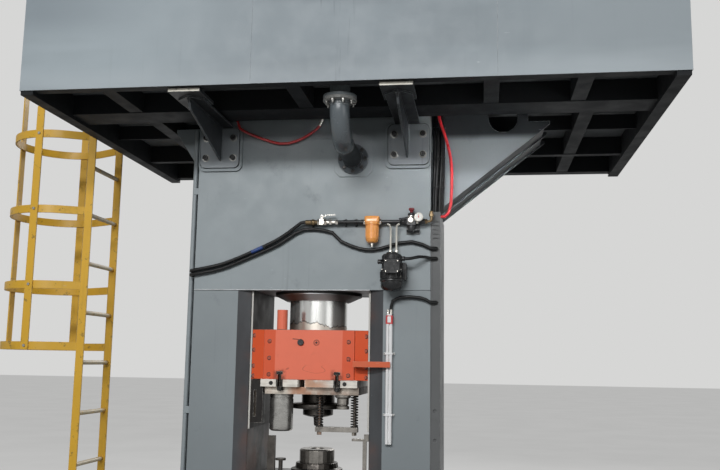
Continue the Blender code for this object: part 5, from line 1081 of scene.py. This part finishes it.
def build_slide_detail():
    heads, pits, plug, holes, nuts = forms(5)
    for sign in (-1, 1):
        spots = [((sign * 0.232, SLIDE_Y + 0.0031, z), OUT, 0.0008, 0.0088, 0.0022)
                 for z in (1.702, 1.606, 1.512)]
        slant = (sign * -0.186, -0.983, 0)
        spots += [((sign * 0.329, SLIDE_Y + 0.0276, z), slant, 0.0012, 0.0082, 0.002)
                  for z in (1.735, 1.652, 1.560, 1.502)]
        for place, out, rise, radius, height in spots:
            top = Vector(place) + Vector(out) * rise
            # A black disk under each screw head, wider than it: painted shade round the head
            bar(pits, place, top, 0.0125, 28, 0.0002)
            socket_screw(heads, aim(top, out), radius, height)
    # A black disk in the middle of the ring: painted shade
    bar(pits, (0.045, SLIDE_Y, 1.697), (0.045, SLIDE_Y - 0.0006, 1.697), 0.0065, 24, 0.0002)
    slab(pits, rounded(0.036, 0.0035, 0.0015), 0, 0.0005, facing(-0.078, SLIDE_Y, 1.716) @ spin(-4), 0.0001)
    slab(pits, rounded(0.030, 0.0030, 0.0012), 0, 0.0005, facing(0.229, SLIDE_Y + 0.0030, 1.594), 0.0001)
    eye = ((0.011, 0), (0.0175, 0), (0.0180, 0.0008), (0.0175, 0.0016), (0.0115, 0.0016), (0.011, 0.001))
    lathe(heads, eye, facing(0.045, SLIDE_Y, 1.697), 40, ring=True)
    lathe(plug, ((0, 0), (0.0175, 0), (0.0185, 0.0015), (0.0185, 0.010), (0.0165, 0.0125), (0.009, 0.0125),
                 (0.008, 0.009), (0, 0.009)), facing(-0.047, SLIDE_Y, 1.698), 40)
    # Black disks on the shoe: painted shade in its holes
    for x in (-0.218, 0.212):
        bar(holes, (x, -0.278, 1.4635), (x, -0.2786, 1.4635), 0.012, 32, 0.0002)
    for x in (-SLOT_X, SLOT_X):
        along_z(nuts, x, -0.26, (nut, 1.4422, 1.4204, 0.0178), (bar, 1.4425, 1.4190, 0.0086))
    piece("slide_pits", pits, "black_bolt", "slide_unit")
    piece("slide_screws", heads, "screw", "slide_unit")
    piece("slide_plug", plug, "black", "slide_unit")
    piece("shoe_holes", holes, "black_bolt", "slide_unit")
    piece("shoe_nuts", nuts, "black_bolt", "slide_unit")


# Air line
VALVE_X = 0.070
REGULATOR_X = 0.592


def build_valve():
    y, z = AIR_Y, AIR_Z
    end, body, run, grip = forms(4)
    lathe(end, ((0, 0), (0.0135, 0), (0.0145, 0.002), (0.0145, 0.008), (0.0135, 0.009),
                (0.0145, 0.010), (0.0145, 0.018), (0.0135, 0.019), (0.0145, 0.020), (0.0145, 0.034),
                (0.0125, 0.036), (0, 0.036)),
          aim((-0.026, y, z), RIGHT), 32)
    along_x(end, y, z, (nut, 0.010, 0.028, 0.0185))
    thread = [(0.0115 + 0.0012 * (k % 2), 0.0012 * k) for k in range(16)]
    lathe(end, [(0.0, 0.0), *thread, (0.0, 0.018)], aim((0.028, y, z), RIGHT), 28)
    piece("hose_end", end, "brass", replaces="ball_valve", smooth=50)
    along_x(body, y, z,
            (nut, 0.044, 0.055, 0.0195), (nut, 0.085, 0.097, 0.0195), (bar, 0.097, 0.113, 0.0120),
            (nut, 0.113, 0.128, 0.0175), (bar, 0.128, 0.150, 0.0105), (nut, 0.150, 0.166, 0.0160))
    lathe(body, ((0, 0), (0.015, 0), (0.0185, 0.003), (0.0205, 0.008), (0.021, 0.015), (0.0205, 0.022),
                 (0.0185, 0.027), (0.015, 0.030), (0, 0.030)), aim((0.055, y, z), RIGHT), 40)
    slab(body, rounded(0.026, 0.034, 0.004), -0.0205, 0.0205, facing(VALVE_X, y, z))
    along_z(body, VALVE_X, y, (bar, z + 0.018, z + 0.034, 0.0075), (nut, z + 0.019, z + 0.027, 0.0115))
    piece("valve_body", body, "nickel")
    along_x(run, y, z, (bar, 0.166, 0.3137, 0.011), (bar, 0.300, 0.3137, 0.0135))
    for x in (0.012, 0.207, 0.268):
        lathe(run, oblong(0.0112, 0.0138, 0, 0.013), aim((x - 0.0065, y, z), RIGHT), 32, ring=True)
        slab(run, rounded(0.013, 0.046, 0.003), 0, 0.004, facing(x, WALL, z))
        slab(run, rounded(0.013, 0.007, 0.001), 0.003, 0.032, facing(x, WALL, z - 0.0135))
    piece("valve_pipe", run, "pipe")
    base = z + 0.034 + CLEAR
    line = ((0.058, 0.0), (0.086, 0.0), (0.096, 0.0035), (0.104, 0.006), (0.150, 0.006))
    for pair in zip(line, line[1:]):
        corners = [(x, y + side * (0.009 if x < 0.090 else 0.0072), base + up)
                   for x, up in pair for side in (-1, 1)]
        under = [grip.verts.new(corner) for corner in corners]
        over = [grip.verts.new((a, b, c + 0.0035)) for a, b, c in corners]
        grip.faces.new([under[k] for k in (0, 1, 3, 2)])
        grip.faces.new([over[k] for k in (0, 2, 3, 1)])
        for a, b in ((0, 1), (1, 3), (3, 2), (2, 0)):
            grip.faces.new((under[a], over[a], over[b], under[b]))
    bmesh.ops.remove_doubles(grip, verts=grip.verts[:], dist=0.00001)
    along_z(grip, VALVE_X, y, (nut, base + 0.0035, base + 0.0085, 0.0075))
    piece("valve_grip", grip, "nickel", "lever", "valve_lever", bevel=0.0006)


def build_filter():
    x, y, z = 0.366, AIR_Y - 0.006, AIR_Z
    head, trim = forms(2)
    slab(head, rounded(0.088, 0.060, 0.016), -0.004, 0.030, at(x, y, z), 0.004)
    lathe(head, ((0, 0), (0.040, 0), (0.0425, -0.002), (0.0425, -0.016), (0.040, -0.018), (0.037, -0.018),
                 (0.037, -0.021), (0.0385, -0.022), (0.0385, -0.026), (0.037, -0.027), (0.0365, -0.085),
                 (0.0365, -0.090), (0.0375, -0.091), (0.0375, -0.098), (0.036, -0.100), (0.034, -0.110),
                 (0.028, -0.118), (0.020, -0.122), (0, -0.124)), at(x, y, z - 0.002), 56)
    for spot in around(16, 0.0370, (x, y)):
        bar(head, (*spot, z - 0.088), (*spot, z - 0.030), 0.0016, 8)
    piece("filter_housing", head, "filter", replaces="air_filter")
    along_x(trim, AIR_Y, z, (nut, x - 0.052, x - 0.040, 0.0165), (nut, x + 0.040, x + 0.052, 0.0165))
    along_z(trim, x, y, (bar, z - 0.124, z - 0.134, 0.009), (nut, z - 0.132, z - 0.138, 0.0085),
            (bar, z - 0.138, z - 0.148, 0.0045))
    slab(trim, rounded(0.030, 0.044, 0.004), 0, 0.006, facing(x, WALL, z + 0.008))
    bar(trim, (x, WALL - 0.004, z + 0.008), (x, AIR_Y + 0.020, z + 0.008), 0.009)
    piece("filter_fittings", trim, "nickel")


def build_regulator():
    x, y, z = REGULATOR_X, AIR_Y, AIR_Z
    core, shelf, trim, outlet, cap = forms(5)
    along_x(core, y, z, (bar, 0.4183, x - 0.024, 0.011), (nut, x - 0.044, x - 0.028, 0.0165),
            (bar, x + 0.024, HALF_W - 0.026, 0.0115), (nut, x + 0.060, x + 0.078, 0.017))
    slab(core, rounded(0.054, 0.048, 0.008), -0.022, 0.022, facing(x - 0.001, y, z - 0.001), 0.003)
    lathe(core, ((0, 0.020), (0.020, 0.020), (0.0235, 0.023), (0.0235, 0.034), (0.0215, 0.037),
                 (0.0215, 0.044), (0.017, 0.050), (0.012, 0.052), (0, 0.052)), at(x, y, z), 40)
    lathe(core, ((0, -0.022), (0.019, -0.022), (0.020, -0.026), (0.020, -0.048), (0.016, -0.058),
                 (0.008, -0.063), (0, -0.064)), at(x, y, z), 40)
    bar(core, (x - 0.020, y - 0.004, z + 0.020), (x - 0.062, y - 0.012, z + 0.008), 0.0095)
    bar(core, (x - 0.058, y - 0.011, z + 0.009), (x - 0.070, y - 0.013, z + 0.006), 0.0125)
    piece("regulator_core", core, "black", replaces="air_regulator")
    slab(shelf, rounded(0.078, 0.030, 0.003), -0.050, -0.045, at(x + 0.008, y + 0.012, z), 0.001)
    slab(shelf, rounded(0.078, 0.060, 0.003), 0, 0.005, facing(x + 0.008, WALL, z - 0.040), 0.001)
    bar(shelf, (x, y + 0.016, z - 0.016), (x, WALL - 0.003, z - 0.016), 0.009)
    piece("regulator_shelf", shelf, "duct")
    lathe(trim, ((0, 0), (0.0165, 0), (0.0165, 0.006), (0.0135, 0.009), (0, 0.009)),
          aim((x - 0.002, y - 0.0215, z + 0.006), OUT), 32)
    collar = ((0.0238, 0.024), (0.0246, 0.026), (0.0246, 0.031), (0.0238, 0.033))
    lathe(trim, collar, at(x, y, z), 40, ring=True)
    along_x(trim, y, z, (nut, x + 0.026, x + 0.040, 0.0155))
    piece("regulator_trim", trim, "nickel")
    side = HALF_W + 0.006
    along_x(outlet, y, z, (nut, HALF_W - 0.030, HALF_W - 0.016, 0.0150))
    bend = [math.radians(10 * k) for k in range(10)]
    bend = [(side - 0.016 * (1 - math.sin(turn)), y, z + 0.016 * (1 - math.cos(turn))) for turn in bend]
    tube(outlet, [(HALF_W - 0.018, y, z), *bend, (side, y, z + 0.030)], 0.0075, 20)
    along_z(outlet, side, y, (nut, z + 0.028, z + 0.046, 0.0135), (bar, z + 0.046, z + 0.060, 0.0105))
    piece("outlet_elbow", outlet, "brass")
    build_gauge()
    low = z + 0.052 + CLEAR
    lathe(cap, ((0, 0), (0.009, 0), (0.009, 0.008), (0.0125, 0.012), (0.0150, 0.014), (0.0155, 0.016),
                (0.0155, 0.024), (0.0140, 0.0262), (0.0125, 0.0262), (0.012, 0.0255), (0, 0.0255)),
          at(x, y, low), 40)
    for spot in around(12, 0.0150, (x, y)):
        bar(cap, (*spot, low + 0.0155), (*spot, low + 0.0245), 0.0017, 10)
    piece("knob_cap", cap, "dark_red", "knob", "regulator_knob", smooth=50)


def build_gauge():
    x, y, z = 0.636, AIR_Y, AIR_Z + 0.020
    case, face, marks, hand = forms(4)
    lathe(case, ((0.0, 0.0), (0.0225, 0), (0.024, 0.002), (0.024, 0.030), (0.025, 0.031), (0.025, 0.035),
                 (0.0235, 0.0365), (0.0215, 0.0365), (0.0212, 0.0345), (0.0, 0.0345)),
          aim((x, y - 0.012, z), OUT), 56)
    bar(case, (REGULATOR_X + 0.022, y - 0.014, z - 0.016), (x, y - 0.026, z - 0.006), 0.008)
    piece("gauge_rim", case, "nickel")
    bar(face, (x, y - 0.0463, z), (x, y - 0.0467, z), 0.0211, 48, 0.0001)
    piece("gauge_face", face, "dial")
    for k in range(25):
        long = 0.0045 if k % 4 == 0 else 0.0024
        place = facing(x, y - 0.0467, z) @ spin(225 - 270 * k / 24)
        slab(marks, oblong(0.0198 - long, 0.0198, -0.00035, 0.00035), 0, 0.0002, place, 0.0)
    piece("gauge_marks", marks, "black")
    near = y - 0.0475 - CLEAR
    outline = ((-0.0016, -0.006), (0.0016, -0.006), (0.0011, 0.010), (0.0, 0.0175), (-0.0011, 0.010))
    slab(hand, outline, 0, 0.0010, facing(x, near, z), 0.0002)
    bar(hand, (x, near, z), (x, near - 0.0014, z), 0.0030, 24, 0.0003)
    piece("needle_hand", hand, "red", "needle", "gauge_needle")


def build_lube_pump():
    x, y = PUMP_X, FRONT - PUMP_OUT
    body, shiny, tubes = forms(3)
    lathe(body, ((0, 2.205), (0.030, 2.205), (0.032, 2.203), (0.032, 2.196), (0.048, 2.194),
                 (0.052, 2.190), (0.052, 2.108), (0.060, 2.106), (0.064, 2.103), (0.064, 2.097),
                 (0.060, 2.095), (0.060, 2.056), (0.066, 2.053), (0.068, 2.050), (0.068, 2.042),
                 (0.064, 2.038), (0.062, 2.036), (0.062, 2.014), (0.058, 2.006), (0.046, 1.992),
                 (0.030, 1.987), (0, 1.984)), at(x, y, 0), 64)
    for k in range(28):
        place = at(x, y, 0) @ spin(360 * k / 28)
        slab(body, oblong(0.058, 0.0672, -0.0014, 0.0014), 2.058, 2.094, place, 0.0004)
        slab(body, oblong(0.050, 0.0575, -0.0012, 0.0012), 2.112, 2.186, place, 0.0004)
    slab(body, rounded(0.084, 0.072, 0.006), 0, 0.012, facing(x, WALL, 2.095))
    slab(body, rounded(0.074, 0.050, 0.006), 0.008, 0.058, facing(x, WALL, 2.095))
    slab(body, rounded(0.060, 0.100, 0.010), -0.052, 0.010, facing(x + 0.050, y + 0.030, 2.10))
    slab(body, rounded(0.078, 0.036, 0.006), -0.030, 0.044, facing(x + 0.001, y + 0.030, 2.168))
    lid_x, lid_z = x + 0.008, 2.119
    octagon = ((-0.043, -0.026), (-0.030, -0.039), (0.030, -0.039), (0.043, -0.026),
               (0.043, 0.026), (0.030, 0.039), (-0.030, 0.039), (-0.043, 0.026))
    lids = ((1, 0.030, 0.080, 0.0015), (1.04, 0.0815, 0.0945, 0.003), (0.62, 0.0945, 0.0955, 0.0006))
    for grow, low, high, rim in lids:
        slab(body, [(grow * a, grow * b) for a, b in octagon], low, high, facing(lid_x, y, lid_z), rim)
    along_x(body, y, 2.170, (nut, x + 0.046, x + 0.060, 0.0155))
    lathe(body, ((0, 0.0), (0.0135, 0.0), (0.0135, 0.006), (0.0125, 0.012), (0.0105, 0.0155), (0, 0.0155)),
          aim((x + 0.0605, y, 2.170), RIGHT), 28)
    along_x(body, y - 0.020, 2.150, (nut, x - 0.062, x - 0.046, 0.0150))
    lathe(body, ((0, 0), (0.0125, 0), (0.0125, 0.012), (0.0115, 0.016), (0.004, 0.018), (0, 0.018)),
          aim((x - 0.062, y - 0.020, 2.150), (-1, 0, 0)), 28)
    for a in (-1, 1):
        for b in (-1, 1):
            post = (lid_x + a * 0.036, y, lid_z + b * 0.022)
            bar(body, post, (post[0], y - 0.045, post[2]), 0.006)
            socket_screw(shiny, aim((lid_x + a * 0.0330, y - 0.0945, lid_z + b * 0.0290), OUT), 0.0040, 0.003)
            socket_screw(shiny, aim((x + a * 0.031, WALL - 0.0125, 2.095 + b * 0.027), OUT), 0.0055, 0.005)
    piece("pump_body", body, "pump", replaces="lube_pump")
    for spot in around(6, 0.059, (x, y), 0.5):
        hexagon(shiny, at(*spot, 2.1035), 0.0055, 0.0045)
    for start, hook in ((x - 0.016, -0.018), (x + 0.018, 0.018)):
        along_z(shiny, start, AIR_Y, (nut, 2.186, 2.202, 0.0125), (bar, 2.202, 2.214, 0.0085),
                (nut, 2.212, 2.228, 0.0105))
        bend = [math.radians(15 * k) for k in range(1, 7)]
        bend = [(start + hook * (1 - math.cos(turn)), AIR_Y - 0.018 * math.sin(turn),
                 2.352 + 0.024 * math.sin(turn)) for turn in bend]
        tube(tubes, [(start, AIR_Y, z) for z in (2.224, 2.29, 2.352)] + bend, 0.0056, 18)
    nut(shiny, (x + 0.050, y - 0.022, 2.066), (x + 0.050, y - 0.028, 2.066), 0.007)
    piece("pump_fittings", shiny, "nickel")
    piece("pump_tubes", tubes, "cream", smooth=60)


def build_transducer():
    x, wall, half = 0.4685, -0.285 - CLEAR, 0.0175
    mid = wall - 0.0165
    body, band, plugs, screws = forms(4)
    right = ((half, 0), (half, 0.026), (half - 0.003, 0.030), (half - 0.009, 0.032), (0.0048, 0.032),
             (0.0038, 0.031), (0.0032, 0.024))
    outline = [(a, -b) for a, b in right] + [(-a, -b) for a, b in right[::-1]]
    prism(body, outline, 1.1425, 1.8065, at(x, wall, 0))
    slab(body, rounded(0.037, 0.031, 0.003), 1.1400, 1.1435, at(x, mid, 0), 0.0006)
    slab(body, rounded(0.026, 0.020, 0.003), 1.854, 1.863, at(x, mid, 0), 0.001)
    slab(body, rounded(0.020, 0.036, 0.003), 0.0318, 0.0335, facing(x, wall, 1.832), 0.0006)
    for z in (1.300, 1.640):
        slab(body, rounded(0.064, 0.012, 0.002), 0, 0.010, facing(x, wall, z), 0.001)
        slab(body, rounded(0.044, 0.012, 0.002), 0.009, 0.0335, facing(x, wall, z), 0.001)
        for off in (-0.027, 0.027):
            socket_screw(screws, facing(x + off, wall - 0.010, z), 0.0038, 0.003)
    slab(band, rounded(0.040, 0.033, 0.004), 1.8070, 1.8545, at(x, mid, 0), 0.001)
    for off in (-0.009, 0.009):
        along_z(plugs, x + off, wall - 0.016, (bar, 1.862, 1.874, 0.0078), (nut, 1.866, 1.872, 0.0088),
                (bar, 1.874, 1.8890, 0.0068))
    piece("sensor_profile", body, "white", replaces="position_transducer")
    piece("sensor_head", band, "red")
    piece("sensor_plugs", plugs, "nickel")
    piece("sensor_screws", screws, "bolt")


def build_bundles():
    """The right bundle as seven hoses laid round each other, and the ties and sleeves of the runs."""
    points = smooth_route(ROUTES["right_cable_bundle"][3], 0.012 * 5)
    bundle, ties, tip, sleeve = forms(4)
    for k in range(7):
        away = 0.0 if k == 6 else 0.0232
        line = []
        for n, point in enumerate(points):
            turn = 2 * math.pi * k / 6 + 0.5 * n / len(points)
            line.append(point + Vector((away * math.cos(turn), away * math.sin(turn), 0)))
        tube(bundle, line, 0.0122 - 0.0008 * (k % 3), 20)
    made = piece("bundle_hoses", bundle, "rubber", replaces="right_cable_bundle",
                 smooth=60)
    length_of(points)
    for z in (2.60, 2.78, 2.96):
        near = min(points, key=lambda q: abs(q.z - z))
        lathe(ties, oblong(0.0350, 0.0368, 0, 0.005), at(near.x, near.y, z), 36, ring=True)
        lock = facing(near.x - 0.006, near.y, z + 0.0025)
        slab(ties, rounded(0.008, 0.009, 0.001), 0.0360, 0.0420, lock, 0.0006)
    for x, z in ((-0.45, 2.163), (-0.27, 2.244), (-0.12, 2.332)):
        flat = aim((x, NEAR, z), (1, 0, 0.45)) @ Matrix.Diagonal((1.0, 0.50, 1.0, 1.0))
        lathe(ties, oblong(0.0245, 0.0262, 0, 0.004), flat, 36, ring=True)
    piece("cable_ties", ties, "tie")
    hose = smooth_route(ROUTES["red_air_hose"][3], 0.02)
    tube(tip, [q for q in hose if q.x > 0.03 and 2.95 < q.z < 3.05], 0.0098, 24)
    piece("red_hose_tip", tip, "nickel", smooth=60)
    hose = smooth_route(ROUTES["air_hose"][3], 0.012)
    tube(sleeve, [q for q in hose if -0.36 < q.x < -0.275], 0.0108, 24)
    piece("hose_sleeve", sleeve, "blue", smooth=60)


HOOP_LEVELS = (1.66, 2.04, 2.52, 3.01)
STRAP_FOOT = 1.635


def build_cage():
    """The guard's hoops and straps as smooth bent flats, bolted where they cross."""
    cage, bolts = forms(2)
    bend = [math.radians(62 + 236 * k / 60) for k in range(61)]
    path = [(CAGE_X + 0.305 * math.cos(turn), CAGE_Y + 0.305 * math.sin(turn)) for turn in bend]
    path = [Vector(spot) for spot in ((-1.5253, 0.335), *path, (-1.5253, -0.070))]
    flat = ((-1, -0.025), (1, -0.025), (1, 0.025), (-1, 0.025))
    for z in HOOP_LEVELS:
        rings = []
        for k, spot in enumerate(path):
            ahead = path[min(k + 1, len(path) - 1)] - path[max(k - 1, 0)]
            side = Vector((ahead.y, -ahead.x)).normalized() * 0.005
            rings.append([cage.verts.new((*(spot + side * out), z + up)) for out, up in flat])
        skin(cage, rings)
    for angle, top in ((92, 3.20), (176, 3.46), (268, 3.19)):
        place = at(CAGE_X, CAGE_Y, 0) @ spin(angle) @ at(0.314, 0, 0) @ spin(90, "Y")
        strap = rounded(top - STRAP_FOOT, 0.050, 0.006, (-(top + STRAP_FOOT) / 2, 0))
        slab(cage, strap, -0.004, 0.005, place, 0.001)
        for z in HOOP_LEVELS:
            hexagon(bolts, place @ at(-z, 0, 0.005), 0.010, 0.007)
    piece("cage_guard", cage, "yellow", replaces="safety_cage", smooth=30, bevel=0.0012)
    piece("cage_bolts", bolts, "bolt")


def build_power_unit():
    """The main motor, and the bolts of it and the oil tank."""
    deck = DECK_TOP + CLEAR
    x, y, z = 1.05, 0.62, deck + 0.26
    motor, bits = forms(2)
    place = aim((x, y, z), RIGHT)
    lathe(motor, ((0.0285, 0.0), (0.060, -0.004), (0.188, 0.0), (0.190, 0.003), (0.190, 0.028),
                  (0.186, 0.032), (0.182, 0.034), (0.182, 0.498), (0.186, 0.500), (0.190, 0.503),
                  (0.190, 0.515), (0.194, 0.520), (0.196, 0.530), (0.196, 0.618), (0.190, 0.640),
                  (0.172, 0.655), (0.150, 0.660), (0.146, 0.656), (0.040, 0.656), (0.036, 0.660),
                  (0, 0.660)), place, 72)
    lathe(motor, ((0.0285, 0.0), (0.0285, 0.10), (0, 0.10)), place, 48)
    rib = ((0.180, -0.0022), (0.205, -0.0016), (0.205, 0.0016), (0.180, 0.0022))
    for turn in (360 * k / 48 for k in range(48)):
        # None where the terminal box stands
        if not 250 < (turn + 180) % 360 < 290:
            slab(motor, rib, 0.050, 0.480, place @ spin(turn), 0.001)
    for near in (0.055 + 0.022 * k for k in range(5)):
        lathe(motor, oblong(near, near + 0.006, 0.6605, 0.6635), place, 56, ring=True)
    for along, out in ((x + 0.12, -0.028), (x + 0.42, 0.028)):
        for sign in (-1, 1):
            foot = at(along, y + sign * 0.130, deck)
            slab(motor, rounded(0.080, 0.080, 0.010), 0, 0.018, foot)
            slab(motor, rounded(0.070, 0.034, 0.006), 0.010, 0.110, foot)
            hexagon(bits, at(along + out, y + sign * 0.155, deck + 0.018), 0.012, 0.010)
    slab(motor, rounded(0.240, 0.200, 0.014), 0.170, 0.285, at(x + 0.28, y, z))
    slab(motor, rounded(0.250, 0.210, 0.016), 0.287, 0.300, at(x + 0.28, y, z), 0.003)
    eye = ((0.013, -0.006), (0.024, -0.006), (0.026, 0.0), (0.024, 0.006), (0.013, 0.006), (0.011, 0.0))
    lathe(motor, eye, aim((x + 0.50, y, z + 0.215), (0, 1, 0)), 28, ring=True)
    piece("motor_body", motor, "motor", replaces="main_motor")
    for a in (-0.105, 0.105):
        for b in (-0.088, 0.088):
            socket_screw(bits, at(x + 0.28 + a, y + b, z + 0.300), 0.006, 0.005)
    for spot in around(8, 0.165, (y, z), 0.5):
        hexagon(bits, aim((x - 0.0005, *spot), (-1, 0, 0)), 0.010, 0.008)
    for a in (-0.27, 0.0, 0.27, 0.56, 0.86):
        for b in (-0.955, -0.43):
            hexagon(bits, at(a, b, 3.868), 0.011, 0.008)
    for spot in around(12, 0.155, (0, -0.68)):
        hexagon(bits, at(*spot, 3.8822), 0.011, 0.009)
    piece("deck_bolts", bits, "bolt")


build_materials()
build_camera()
build_cords()
build_floor()
build_lights()
coat_nodes()
build_frame_detail()
build_elbow()
build_press_parts()
build_slide_detail()
build_valve()
build_filter()
build_regulator()
build_lube_pump()
build_transducer()
build_bundles()
build_cage()
build_power_unit()
